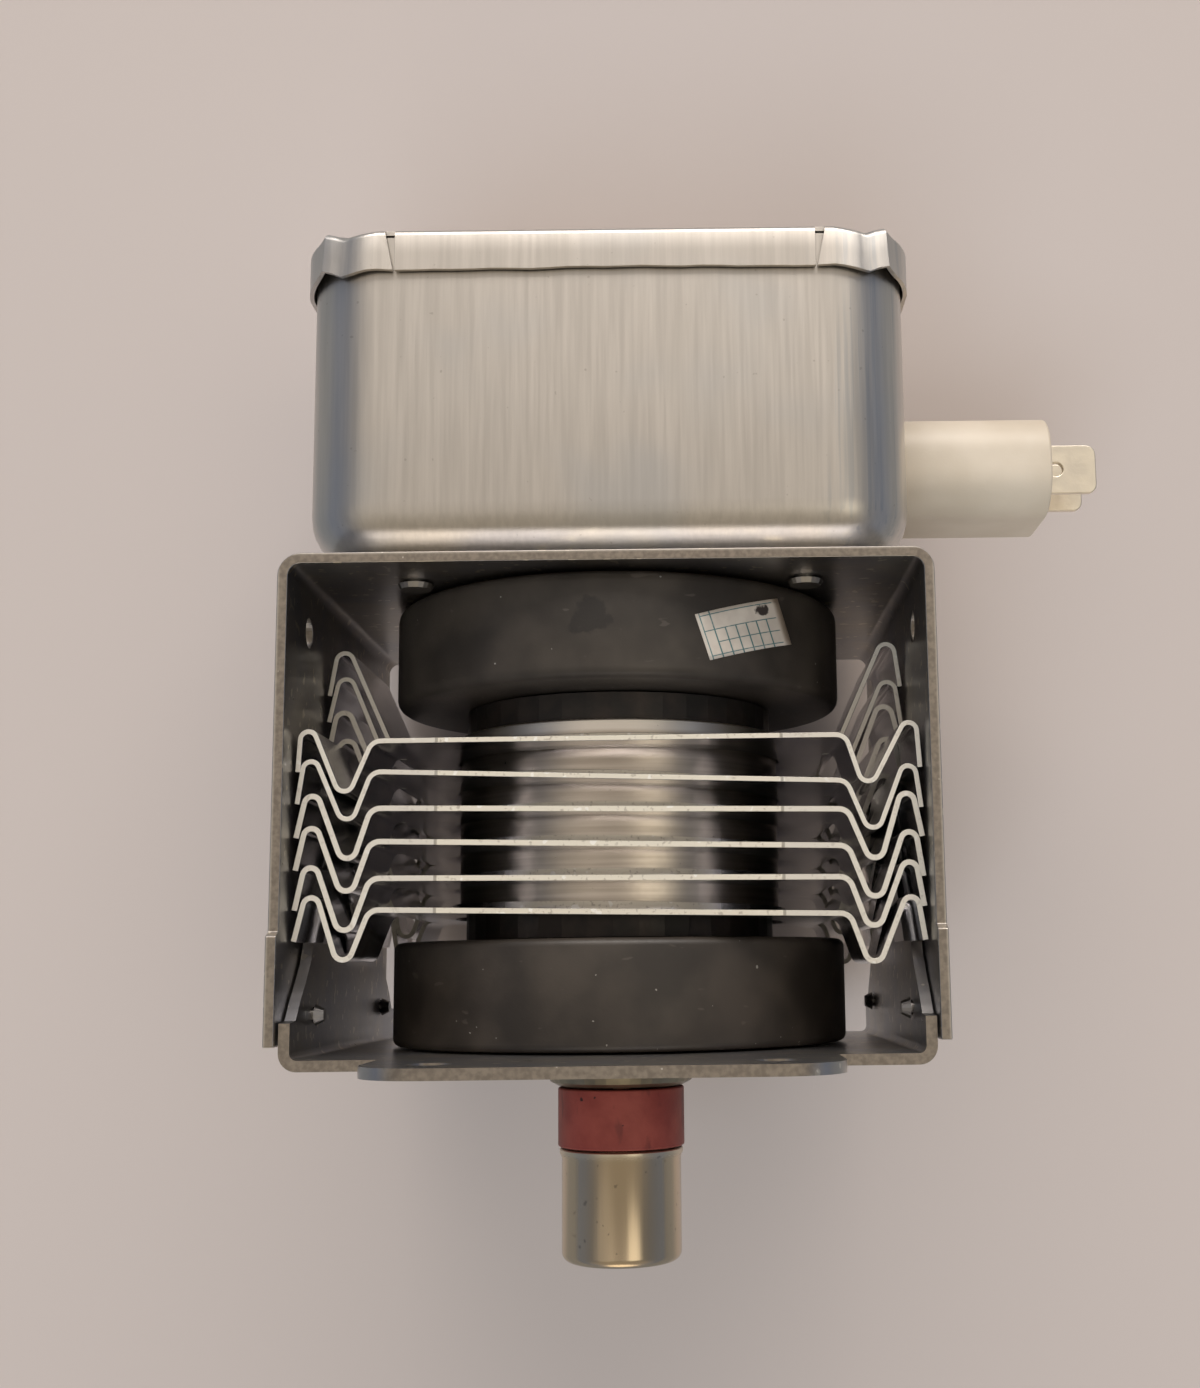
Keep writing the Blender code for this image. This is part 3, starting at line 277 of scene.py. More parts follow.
def addCut(piece, points, faces):
    mesh = bpy.data.meshes.new(piece.name + "Cutter")
    mesh.from_pydata(onTable(points).tolist(), [], np.asarray(faces).tolist())
    shape = bmesh.new()
    shape.from_mesh(mesh)
    bmesh.ops.holes_fill(shape, edges=shape.edges)
    bmesh.ops.recalc_face_normals(shape, faces=shape.faces)
    shape.to_mesh(mesh)
    shape.free()
    cutter = bpy.data.objects.new(piece.name + "Cutter", mesh)
    bpy.context.scene.collection.objects.link(cutter)
    cut = piece.modifiers.new("cut", "BOOLEAN")
    cut.operation = "DIFFERENCE"
    cut.solver = "EXACT"
    cut.object = cutter
    return cutter


def settle(piece):
    # makes the finished modifiers the piece's own mesh, and clears its cutters away
    cutters = [m.object for m in piece.modifiers if m.type == "BOOLEAN"]
    bpy.context.view_layer.update()
    graph = bpy.context.evaluated_depsgraph_get()
    mesh = bpy.data.meshes.new_from_object(piece.evaluated_get(graph))
    piece.modifiers.clear()
    piece.data = mesh
    for cutter in cutters:
        bpy.data.objects.remove(cutter, do_unlink=True)
    return piece


def drillBits(holes, length, steps=32):
    # round bits: each a circle about (centre, direction, radius), swept along the direction
    points, faces = [], []
    angles = np.linspace(0, 2 * np.pi, steps, endpoint=False)
    for centre, direction, radius in holes:
        direction = np.array(direction, float)
        across = np.array((0.0, 1.0, 0.0)) if abs(direction[1]) < 0.5 else np.array((1.0, 0.0, 0.0))
        other = np.cross(direction, across)
        ring = radius * (np.cos(angles)[:, None] * across + np.sin(angles)[:, None] * other)
        ends = [np.array(centre) + ring + side * direction * length / 2 for side in (-1, 1)]
        faces.append(gridFaces(2, steps, False, True, start=len(points) * 2 * steps))
        points.append(np.concatenate(ends))
    return np.concatenate(points), np.concatenate(faces)


# Finishes
def speckle(finish, scale, threshold, width=0.04, stretch=(1.0, 1.0, 1.0)):
    return finish.noise(scale, 1.0, stretch).rise(threshold, threshold + width)


plateLook = {"outerX": 36.5, "outerZ": 56.6, "grain": 3.5, "burnishAndHighlightWidth": 0.4}


def makePlateFinish():
    look = Finish("zincPlate", 1.0, 0.3)
    cloud = look.noise(0.09, 3.0)
    grain = look.noise(plateLook["grain"], 3.0)
    rolled = look.noise(1.2, 2.0, (0.25, 1.0, 1.0))
    faceColour = look.mix(cloud.rise(0.35, 0.65), (0.50, 0.475, 0.44), (0.40, 0.40, 0.42))
    faceColour = look.mix(speckle(look, 0.7, 0.66), faceColour, (0.72, 0.68, 0.60))
    sheared = abs(look.facing(toFront)).rise(0.75, 0.95)
    fromOuter = (plateLook["outerX"] - abs(look.x)).lowest(look.z + plateLook["outerZ"])
    # lighter line along the cut face's outer border: burnished metal there, lightened further as a painted
    # highlight of the edge
    burnishAndHighlight = fromOuter.rise(plateLook["burnishAndHighlightWidth"], plateLook["burnishAndHighlightWidth"] - 0.3)
    tooth = look.noise(1.6, 2.0, (1.0, 0.3, 1.0))
    cutColour = look.mix(tooth.rise(0.3, 0.7), (0.19, 0.16, 0.13), (0.27, 0.23, 0.185))
    cutColour = look.mix(burnishAndHighlight * 0.5, cutColour, (0.58, 0.54, 0.48))
    # bright specks on the cut face: painted glints
    cutColour = look.mix(speckle(look, 1.1, 0.74) * 0.6, cutColour, (0.80, 0.76, 0.68))
    onEar = abs(look.x).rise(33.5, 33.8) * abs(look.x).rise(35.25, 35.15)
    onEar = onEar * look.z.rise(-6.5, -8.0) * look.z.rise(-33.0, -32.0)
    golden = look.noise(0.30, 2.0).rise(0.42, 0.58) * onEar
    cutColour = look.mix(golden, cutColour, (0.62, 0.40, 0.12))
    look.feed("Base Color", look.mix(sheared, faceColour, cutColour))
    look.feed("Metallic", 1.0 - sheared * 0.35)
    look.feed("Roughness", 0.24 + rolled * 0.14 + sheared * (0.12 + tooth * 0.1))
    look.bump((grain * 0.3 + rolled * 0.4) * (1.0 - sheared * 0.6) + sheared * tooth * 0.3, 0.35, 0.0001)
    return look


def makeBoxFinish():
    look = Finish("drawnSteel", 1.0, 0.34)
    streaks = look.noise(1.5, 4.0, (1.0, 1.0, 0.035), 0.6)
    fine = look.noise(7.0, 2.0, (1.0, 1.0, 0.05))
    cloud = look.noise(0.05, 2.0)
    colour = look.mix(streaks.rise(0.3, 0.7), (0.585, 0.555, 0.515), (0.65, 0.615, 0.57))
    colour = look.mix(cloud.rise(0.45, 0.7) * 0.5, colour, (0.52, 0.53, 0.54))
    # darker bluish streaks on the right end only: drawn streaks there, darkened as a painted reflection of
    # that side
    rightStreaksAndReflection = look.noise(0.9, 3.0, (1.0, 1.0, 0.02), 0.6).rise(0.52, 0.64) * look.x.rise(22.0, 27.0)
    colour = look.mix(rightStreaksAndReflection * 0.45, colour, (0.40, 0.42, 0.44))
    colour = look.mix(speckle(look, 1.3, 0.76) * 0.4, colour, (0.34, 0.31, 0.28))
    look.feed("Base Color", colour)
    look.feed("Roughness", 0.29 + streaks * 0.10)
    look.bump(streaks * 0.4 + fine * 0.25, 0.2, 0.0001)
    return look


def makeFinFinish():
    look = Finish("finAluminium", 1.0, 0.3)
    cloud = look.noise(0.12, 2.0)
    pits = look.noise(2.4, 3.0)
    specks = speckle(look, 0.8, 0.68)
    edge = abs(look.facing(toFront)).rise(0.7, 0.95)
    faceColour = look.mix(cloud.rise(0.35, 0.65), (0.92, 0.91, 0.93), (0.86, 0.86, 0.90))
    edgeColour = look.mix(pits.rise(0.30, 0.42), (0.50, 0.45, 0.37), (0.74, 0.69, 0.58))
    edgeColour = look.mix(specks * 0.7, edgeColour, (0.92, 0.90, 0.84))
    outside = abs(look.x).rise(19.2, 19.4)
    notch = abs(abs(look.x) - 19.3).rise(0.22, 0.12)
    edgeColour = look.mix(outside * 0.5, edgeColour, (0.60, 0.57, 0.52))
    edgeColour = look.mix(notch * 0.6, edgeColour, (0.16, 0.14, 0.11))
    look.feed("Base Color", look.mix(edge, faceColour, edgeColour))
    look.feed("Metallic", 1.0 - edge * 0.65)
    look.feed("Roughness", 0.12 + cloud * 0.08 + edge * 0.3)
    look.bump(pits * (1.0 - edge * 0.7), 0.3, 0.00008)
    return look


def makeFerriteFinish():
    look = Finish("magnetFerrite", 0.0, 0.42)
    grain = look.noise(2.8, 4.0)
    cloud = look.noise(0.11, 3.0)
    scratch = look.noise(0.8, 2.0, (0.35, 0.35, 1.0)).rise(0.70, 0.74)
    chips = speckle(look, 1.3, 0.79, 0.01)
    colour = look.mix(cloud.rise(0.35, 0.7), (0.026, 0.021, 0.017), (0.054, 0.044, 0.035))
    colour = look.mix(scratch * 0.35, colour, (0.12, 0.10, 0.085))
    colour = look.mix(chips * 0.6, colour, (0.42, 0.40, 0.36))
    smudgeX, smudgeZ = (look.x + 2.2) * 0.30, (look.z + 49.8) * 0.36
    smudge = smudgeX * smudgeX + smudgeZ * smudgeZ + (look.noise(0.6, 3.0) - 0.5) * 2.2
    colour = look.mix(smudge.rise(0.7, 0.3) * look.y.rise(20.0, 24.0) * 0.8, colour, (0.012, 0.010, 0.009))
    look.feed("Base Color", colour)
    look.feed("Roughness", 0.36 + grain * 0.14)
    look.bump(grain * 0.4 + cloud, 0.3, 0.0001)
    return look


def makeAnodeFinish():
    look = Finish("anodePlating", 1.0, 0.3)
    rings = look.noise(1.0, 3.0, (0.04, 0.04, 1.6))
    grain = look.noise(2.0, 3.0)
    colour = look.mix(rings.rise(0.3, 0.7), (0.49, 0.435, 0.37), (0.63, 0.57, 0.50))
    colour = look.mix(look.z.rise(-37.6, -38.2), colour, (0.93, 0.88, 0.80))
    look.feed("Base Color", colour)
    look.feed("Roughness", 0.24 + grain * 0.14)
    look.bump(rings * 0.5 + grain * 0.2, 0.3, 0.00015)
    return look


def makeCeramicFinish():
    look = Finish("redCeramic", 0.0, 0.5)
    cloud = look.noise(0.3, 3.0)
    stain = look.noise(0.45, 3.0, (1.0, 1.0, 0.35)).rise(0.60, 0.68)
    specks = speckle(look, 0.9, 0.74)
    colour = look.mix(cloud.rise(0.3, 0.7), (0.22, 0.040, 0.031), (0.29, 0.062, 0.046))
    colour = look.mix(stain * 0.5, colour, (0.095, 0.022, 0.020))
    colour = look.mix(specks, colour, (0.035, 0.014, 0.014))
    look.feed("Base Color", colour)
    look.feed("Roughness", 0.46 + cloud * 0.12)
    look.bump(look.noise(2.2, 3.0), 0.3, 0.0001)
    look.shader.inputs["Specular IOR Level"].default_value = 0.35
    return look


def makeCapFinish():
    look = Finish("capSteel", 1.0, 0.2)
    drawn = look.noise(1.2, 3.0, (1.0, 1.0, 0.03))
    tint = look.noise(0.10, 2.0, (1.0, 1.0, 0.4))
    rim = look.z.rise(12.5, 11.6)
    colour = look.mix(tint.rise(0.35, 0.65), (0.62, 0.51, 0.37), (0.55, 0.46, 0.34))
    colour = look.mix(rim * 0.7, colour, (0.66, 0.60, 0.49))
    colour = look.mix(speckle(look, 1.1, 0.72) * 0.5, colour, (0.20, 0.17, 0.13))
    look.feed("Base Color", colour)
    look.feed("Roughness", 0.16 + drawn * 0.09 + rim * 0.12)
    look.bump(drawn, 0.16, 0.0001)
    return look


def makeCaseFinish():
    look = Finish("casePlastic", 0.0, 0.42)
    cloud = look.noise(0.12, 3.0)
    look.feed("Base Color", look.mix(cloud.rise(0.3, 0.7), (0.62, 0.54, 0.435), (0.68, 0.60, 0.495)))
    look.feed("Roughness", 0.36 + look.noise(1.4, 3.0) * 0.14)
    look.bump(look.noise(3.2, 2.0), 0.15, 0.00006)
    look.shader.inputs["Subsurface Weight"].default_value = 0.08
    look.shader.inputs["Subsurface Radius"].default_value = (0.003, 0.0025, 0.002)
    return look


def makePlainMetal(name, light, dark, roughness, grainScale=2.0, metallic=1.0):
    look = Finish(name, metallic, roughness)
    grain = look.noise(grainScale, 3.0)
    look.feed("Base Color", look.mix(look.noise(0.25, 2.0).rise(0.35, 0.65), light, dark))
    look.feed("Roughness", roughness - 0.07 + grain * 0.14)
    look.bump(grain, 0.25, 0.00008)
    return look


plate = makePlateFinish()
box = makeBoxFinish()
finMetal = makeFinFinish()
ferrite = makeFerriteFinish()
anodeMetal = makeAnodeFinish()
ceramic = makeCeramicFinish()
capMetal = makeCapFinish()
case = makeCaseFinish()
blade = makePlainMetal("bladeTin", (0.90, 0.83, 0.69), (0.78, 0.72, 0.61), 0.36)
shell = makePlainMetal("shellSteel", (0.30, 0.27, 0.20), (0.20, 0.18, 0.14), 0.4)
poleIron = makePlainMetal("poleIron", (0.055, 0.045, 0.040), (0.035, 0.032, 0.030), 0.42, metallic=0.6)
copper = makePlainMetal("copper", (0.78, 0.42, 0.28), (0.66, 0.34, 0.22), 0.3)
tungsten = makePlainMetal("tungsten", (0.34, 0.34, 0.35), (0.24, 0.24, 0.25), 0.5)
whiteCeramic = makePlainMetal("stemCeramic", (0.80, 0.76, 0.71), (0.74, 0.70, 0.66), 0.5, metallic=0.0)
enamel = makePlainMetal("enamelledCopper", (0.52, 0.20, 0.08), (0.40, 0.14, 0.06), 0.3)
coreFerrite = makePlainMetal("coreFerrite", (0.06, 0.06, 0.065), (0.045, 0.045, 0.05), 0.5, metallic=0.0)
rivetSteel = makePlainMetal("rivetSteel", (0.50, 0.48, 0.45), (0.42, 0.41, 0.40), 0.34, 0.6)
print("finishes ready")

nodeFinishes = {
    "vane_": copper, "strap_": copper, "exhaust_tube": copper, "antenna_rod": copper,
    "filament": tungsten, "end_hat": tungsten, "cathode_lead": tungsten, "stem_insulator": whiteCeramic,
    "choke_coil": enamel, "choke_core": coreFerrite, "capacitor_flange": plate, "input_shell": shell,
    "output_shell": shell, "pole_piece": poleIron, "box_rivet": rivetSteel, "side_rivet": rivetSteel,
}
for node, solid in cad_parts.items():
    for start, look in nodeFinishes.items():
        if node.startswith(start):
            solid.data.materials.clear()
            solid.data.materials.append(look.material)

# Yoke: the path of the bent strip carried through its depth
yokeSize = {"halfWidth": 36.5, "top": -56.6, "legEnd": -2.6, "sheet": 1.2, "bend": 2.0, "halfDepth": 31.0,
            "step": 1.0, "stepLevel": -14.8, "neckHole": 9.45, "rivetX": 22.8, "rivetY": 20.8,
            "rivetHole": 1.55, "airHole": 1.75, "airHoleY": 20.0, "airHoleZ": -49.7,
            "studY": 20.0, "studZ": -5.7, "studHole": 0.95, "edge": 0.16}


def studHoles(x):
    return [((side * x, forward, yokeSize["studZ"]), (1, 0, 0), yokeSize["studHole"])
            for side in (-1, 1) for forward in (-yokeSize["studY"], yokeSize["studY"])]


def makeYoke():
    size = yokeSize
    wallX = size["halfWidth"] - size["sheet"] / 2
    top = size["top"] + size["sheet"] / 2
    corners = [(wallX, size["legEnd"]), (wallX, size["stepLevel"] + size["step"] / 2),
               (wallX, size["stepLevel"]), (wallX, top), (-wallX, top), (-wallX, size["stepLevel"]),
               (-wallX, size["stepLevel"] + size["step"] / 2), (-wallX, size["legEnd"])]
    bend = bendPath([corners[2], corners[3], corners[4], corners[5]], size["bend"])
    path = np.concatenate([corners[:2], bend, corners[-2:]])
    depth = size["halfDepth"] + size["step"] * (path[:, 1] > size["stepLevel"] + 0.1)
    share = np.linspace(-1, 1, 5)
    points = np.stack([path[:, :1] + 0 * share, depth[:, None] * share, path[:, 1:] + 0 * share], -1)
    yoke = addPiece("yokeStrip", points, gridFaces(len(path), 5), plate,
                    ["yoke_upper"])
    addWall(yoke, size["sheet"])
    holes = [((0, 0, top), (0, 0, 1), size["neckHole"])]
    holes += [((side * wallX, size["airHoleY"], size["airHoleZ"]), (1, 0, 0), size["airHole"])
              for side in (-1, 1)]
    holes += [((sideX * size["rivetX"], sideY * size["rivetY"], top), (0, 0, 1), size["rivetHole"])
              for sideX in (-1, 1) for sideY in (-1, 1)]
    addCut(yoke, *drillBits(holes + studHoles(wallX), 4 * size["sheet"]))
    addEdgeRound(yoke, size["edge"])
    return settle(yoke)


# Mounting plate: a tray whose half depth changes along its path, with a round-cornered tab each way
plateSize = {"halfWidth": 35.05, "sheet": 1.2, "bend": 1.4, "flange": -5.1, "halfDepth": 31.0,
             "tabHalf": 24.5, "tabReach": 47.5, "tabCorner": 7.0, "neckHole": 9.45, "screwHole": 2.3,
             "ear": ((-31.5, 10.9), (-30.2, 12.1), (-25.0, 12.1), (-20.8, 13.9), (-19.0, 16.2),
                     (-14.5, 20.2), (-11.5, 21.9), (-9.3, 24.2), (-7.4, 26.4), (-5.3, 28.4)),
             "edge": 0.16}


def earHalfDepth(height):
    ear = np.array(plateSize["ear"])
    return np.interp(height, ear[:, 0], ear[:, 1])


def makeMountingPlate():
    size = plateSize
    wallX = size["halfWidth"] - size["sheet"] / 2
    floor = -size["sheet"] / 2
    ear = np.array(size["ear"])
    ear[:, 1] = np.minimum(ear[:, 1], size["halfDepth"])
    leftEar = np.column_stack([np.full(len(ear), -wallX), ear[:, 0], ear[:, 1]])
    bend = bendPath([(-wallX, size["flange"]), (-wallX, floor), (wallX, floor), (wallX, size["flange"])],
                    size["bend"])
    tabX = np.linspace(-size["tabHalf"], size["tabHalf"], 15)
    middle = len(bend) // 2
    floorPart = np.concatenate([bend[:middle], np.column_stack([tabX, np.full(15, floor)]), bend[middle:]])
    tray = np.column_stack([floorPart, np.full(len(floorPart), size["halfDepth"])])
    rightEar = leftEar[::-1] * (-1, 1, 1)
    path = np.concatenate([leftEar, tray, rightEar])
    share = np.linspace(-1, 1, 5)
    points = np.stack([path[:, :1] + 0 * share, path[:, 2:] * share, path[:, 1:2] + 0 * share], -1)
    blocks, faces = [points.reshape(-1, 3)], [gridFaces(len(path), 5)]
    start = size["tabReach"] - size["tabCorner"]
    curve = np.linspace(0, np.pi / 2, 9)[:-1]
    tabY = np.concatenate([[size["halfDepth"]], start + size["tabCorner"] * np.sin(curve),
                           [size["tabReach"]]])
    tabHalf = np.concatenate([[size["tabHalf"]], size["tabHalf"] - size["tabCorner"] * (1 - np.cos(curve)),
                              [size["tabHalf"] - size["tabCorner"]]])
    for side in (-1, 1):
        across = tabX[None] * (tabHalf / size["tabHalf"])[:, None]
        grid = np.stack([across, side * tabY[:, None] + 0 * across, floor + 0 * across], -1)
        faces.append(gridFaces(*across.shape, start=sum(len(block) for block in blocks)))
        blocks.append(grid.reshape(-1, 3))
    tray = addPiece("mountingTray", np.concatenate(blocks), np.concatenate(faces), plate,
                    ["mounting_plate"])
    addWall(tray, size["sheet"])
    screwX, screwY = size["tabHalf"] - size["tabCorner"], size["tabReach"] - size["tabCorner"]
    holes = [((0, 0, floor), (0, 0, 1), size["neckHole"])] + studHoles(wallX)
    holes += [((sideX * screwX, sideY * screwY, floor), (0, 0, 1), size["screwHole"])
              for sideX in (-1, 1) for sideY in (-1, 1)]
    addCut(tray, *drillBits(holes, 3 * size["sheet"]))
    addEdgeRound(tray, size["edge"])
    return settle(tray)


# Fins: a flat with a collar, and bent tabs whose section is squeezed where an ear stands behind
finShape = {"sheet": 0.6, "halfDepth": 26.5, "hole": 20.55, "collar": 1.4, "middleHalf": 11.3, "slit": 1.1,
            "knee": 26.5, "reach": 34.75, "nearReach": 33.3, "nearCrest": 0.65, "levelX": 24.0,
            "bends": (1.5, 1.05, 0.9), "middleBends": (1.5, 1.05), "middleLeg": (0.75, 5.3),
            "earGap": 0.7, "earBlend": 1.0, "collarRound": 0.35, "edge": 0.07}
# as bent by hand: heights of the flat at its left and right end, then for each side the lowest point of
# the front tab's valley, the highest of its crest, the leg's end, and the highest of the middle tab
finBends = (
    {"levels": (-36.00, -36.09), "left": ((29.54, -30.37), (33.80, -37.15), -32.55, (33.10, -49.00)),
     "right": ((28.84, -30.82), (33.80, -37.36), -32.30, (33.30, -49.34))},
    {"levels": (-32.46, -31.01), "left": ((29.16, -27.26), (33.40, -33.75), -28.95, (32.85, -45.76)),
     "right": ((29.36, -25.62), (33.50, -32.50), -27.80, (33.28, -44.64))},
    {"levels": (-28.40, -27.77), "left": ((29.03, -22.89), (33.10, -29.85), -25.20, (33.05, -41.60)),
     "right": ((29.50, -22.27), (33.15, -29.40), -24.60, (32.70, -41.60))},
    {"levels": (-24.69, -23.72), "left": ((29.10, -19.29), (33.10, -26.25), -21.60, (32.50, -38.13)),
     "right": ((29.38, -18.04), (33.36, -25.10), -20.20, (33.00, -37.60))},
    {"levels": (-20.64, -20.23), "left": ((29.23, -14.99), (33.10, -21.90), -17.20, (32.70, -34.00)),
     "right": ((29.15, -14.85), (33.30, -21.75), -16.90, (33.00, -33.70))},
    {"levels": (-17.14, -16.23), "left": ((29.35, -11.76), (32.95, -18.60), -13.80, (32.70, -30.50)),
     "right": ((29.08, -10.94), (33.38, -17.90), -13.20, (33.00, -29.70))},
)


def throughBends(ends, seen, radii):
    # moves each corner out along its bisector by radius / sin(half its angle) - radius, so that the
    # rounded line, and not its corners, passes the places seen
    corners = np.array([ends[0], *seen, ends[1]], float)
    seen = corners[1:-1].copy()
    for _ in range(6):
        into = corners[:-2] - corners[1:-1]
        out = corners[2:] - corners[1:-1]
        into /= np.linalg.norm(into, axis=1)[:, None]
        out /= np.linalg.norm(out, axis=1)[:, None]
        half = np.arccos(np.clip((into * out).sum(1), -1, 1))[:, None] / 2
        middle = (into + out) / np.linalg.norm(into + out, axis=1)[:, None]
        corners[1:-1] = seen - middle * np.array(radii)[:, None] * (1 / np.sin(half) - 1)
    return corners[1:-1]


def flatLevel(number, x):
    left, right = finBends[number]["levels"]
    return (left + right) / 2 + (right - left) / 2 * x / finShape["levelX"]


def tabSection(number, side, middle, near):
    # knee, valley, crest and leg of a front tab, or knee, crest and leg of the middle one
    size = finShape
    valley, crest, legEnd, middleCrest = finBends[number]["left" if side < 0 else "right"]
    knee = (size["knee"], flatLevel(number, side * size["knee"]))
    startX = size["knee"] - 2 * size["bends"][0]
    start = (startX, flatLevel(number, side * startX))
    reach = size["nearReach"] if near else size["reach"]
    inset, drop = size["middleLeg"]
    if middle:
        share = 0.5 if near else 1.0
        top = (min(middleCrest[0], reach - share * inset), middleCrest[1])
        end = (reach, top[1] + share * drop)
        corners = throughBends((knee, end), [top], size["middleBends"][1:])
        return bendPath([start, knee, *corners, end], size["middleBends"])[1:]
    if near:
        squeeze = (reach - size["knee"]) / (size["reach"] - size["knee"])
        crest = (size["knee"] + squeeze * (crest[0] - size["knee"]),
                 knee[1] + size["nearCrest"] * (crest[1] - knee[1]) + 0.5)
    corners = throughBends((knee, (reach, legEnd)), [valley, crest], size["bends"][1:])
    return bendPath([start, knee, *corners, (reach, legEnd)], size["bends"])[1:]


def makeFin(number):
    size = finShape
    blocks, faces, count = [], [], 0
    inner = size["middleHalf"] + size["slit"]
    bends = finBends[number]
    ears = [float(earHalfDepth(bends[side][2])) + size["earGap"] for side in ("left", "right")]
    marks = [depth for ear in ears for depth in (ear, ear + size["earBlend"])]
    outer = np.unique(np.concatenate([np.linspace(inner, size["halfDepth"], 5),
                                      np.clip(marks, inner, size["halfDepth"])]))
    spans = [(-outer[::-1], False), (np.linspace(-size["middleHalf"], size["middleHalf"], 7), True),
             (outer, False)]
    rootX = size["knee"] - size["bends"][0] * 0.9
    for side, ear, name in ((-1, ears[0], "left"), (1, ears[1], "right")):
        for depths, middle in spans:
            if middle:
                behind = bends[name][3][1] + size["middleLeg"][1] > plateSize["ear"][0][0]
                near = np.full(len(depths), float(behind))
            elif bends[name][2] > plateSize["ear"][0][0]:
                near = np.interp(np.abs(depths), (ear, ear + size["earBlend"]), (1.0, 0.0))
            else:
                near = np.zeros(len(depths))
            sections = [tabSection(number, side, middle, isNear) for isNear in (False, True)]
            for section in sections:
                section[0] = (rootX, flatLevel(number, side * rootX))
            mixed = sections[0][:, :, None] * (1 - near) + sections[1][:, :, None] * near
            grid = np.stack([side * mixed[:, 0], depths + 0 * mixed[:, 0], mixed[:, 1]], -1)
            faces.append(gridFaces(*mixed[:, 0].shape, start=count))
            blocks.append(grid.reshape(-1, 3))
            count += mixed[:, 0].size
    # the flat: straight lines from its border in to the round hole, then down the collar
    column = np.concatenate([depths for depths, middle in spans])
    edge = np.linspace(-rootX, rootX, 17)[1:-1]
    border = np.concatenate([
        np.column_stack([np.full(len(column), rootX), column]),
        np.column_stack([edge[::-1], np.full(15, size["halfDepth"])]),
        np.column_stack([np.full(len(column), -rootX), column[::-1]]),
        np.column_stack([edge, np.full(15, -size["halfDepth"])]),
    ])
    angles = np.arctan2(border[:, 1], border[:, 0])
    hole = size["hole"] * np.column_stack([np.cos(angles), np.sin(angles)])
    rings = [border * (1 - share) + hole * share for share in (0.0, 0.5, 0.93, 1.0, 1.0)]
    drops = (0.0, 0.0, 0.0, size["collarRound"], size["collar"])
    rows = [np.column_stack([ring, flatLevel(number, ring[:, 0]) - drop])
            for ring, drop in zip(rings, drops)]
    faces.append(gridFaces(len(rows), len(border), False, True, start=count))
    blocks.append(np.concatenate(rows))
    fin = addPiece(f"coolingFin{number + 1}", np.concatenate(blocks), np.concatenate(faces), finMetal,
                   [f"fin_{number + 1}"], merge=0.01, sharp=60)
    addWall(fin, size["sheet"])
    addEdgeRound(fin, size["edge"], 60, 1)
    return settle(fin)


# Filter box: a rounded rectangle carried from the rim down its walls, round the bottom fillet and in
boxSize = {"halfX": 35.0, "halfY": 29.4, "sheet": 0.8, "corner": 9.0, "fillet": 6.0, "bottom": -56.85,
           "rim": -94.25, "neckHole": 9.45, "edge": 0.1, "caseHalfZ": 6.75, "caseHalfY": 9.85,
           "caseZ": -73.35, "caseCorner": 4.85}


def makeFilterBox():
    size = boxSize
    half = size["sheet"] / 2
    curve = np.linspace(np.pi / 2, 0, 9)
    radius = size["fillet"] - half
    insets = np.concatenate([[half, half], half + radius * (1 - np.sin(curve))])
    levels = np.concatenate([[size["rim"], size["rim"] / 2 + size["bottom"] / 2],
                             size["bottom"] - half - radius * (1 - np.cos(curve))])
    rings = [np.column_stack([roundedLoop(size["halfX"] - inset, size["halfY"] - inset,
                                          size["corner"] - inset), np.full(52, level)])
             for inset, level in zip(insets, levels)]
    rings.append(np.column_stack([0.5 * rings[-1][:, :2], np.full(52, levels[-1])]))
    rings.append(np.column_stack([0.0 * rings[-1][:, :2], np.full(52, levels[-1])]))
    piece = addPiece("filterCan", np.concatenate(rings), gridFaces(len(rings), 52, False, True), box,
                     ["filter_box"])
    addWall(piece, size["sheet"])
    holes = [((0, 0, size["bottom"]), (0, 0, 1), size["neckHole"])]
    holes += [((sideX * yokeSize["rivetX"], sideY * yokeSize["rivetY"], size["bottom"]), (0, 0, 1),
               yokeSize["rivetHole"]) for sideX in (-1, 1) for sideY in (-1, 1)]
    addCut(piece, *drillBits(holes, 4 * size["sheet"]))
    loop = roundedLoop(size["caseHalfZ"], size["caseHalfY"], size["caseCorner"], 8)
    window = [np.column_stack([np.full(len(loop), x), loop[:, 1], size["caseZ"] + loop[:, 0]])
              for x in (size["halfX"] - 3, size["halfX"] + 3)]
    addCut(piece, np.concatenate(window), gridFaces(2, len(loop), False, True))
    addEdgeRound(piece, size["edge"])
    return settle(piece)


# Lid: the same loop with a tight edge, a lip slit by the corners, and folds in its corner flaps
lidSize = {"sheet": 0.5, "top": -95.0, "halfX": 35.75, "halfY": 30.15, "corner": 9.5, "edge": 0.55,
           "lip": 4.9, "sideLip": 5.1, "slitX": 24.2, "slitTop": 1.1, "slitEnd": 0.08, "ragged": 0.14,
           "edgeRound": 0.09,
           # the corner flaps' folds: degrees round the corner, moves outwards, moves down the side
           "folds": ((0, 26, 38, 48, 64, 90),
                     (0.0, -0.05, 0.7, 0.2, 0.1, 0.0),
                     (0.0, 0.5, -0.3, 0.0, 0.0, 0.0))}


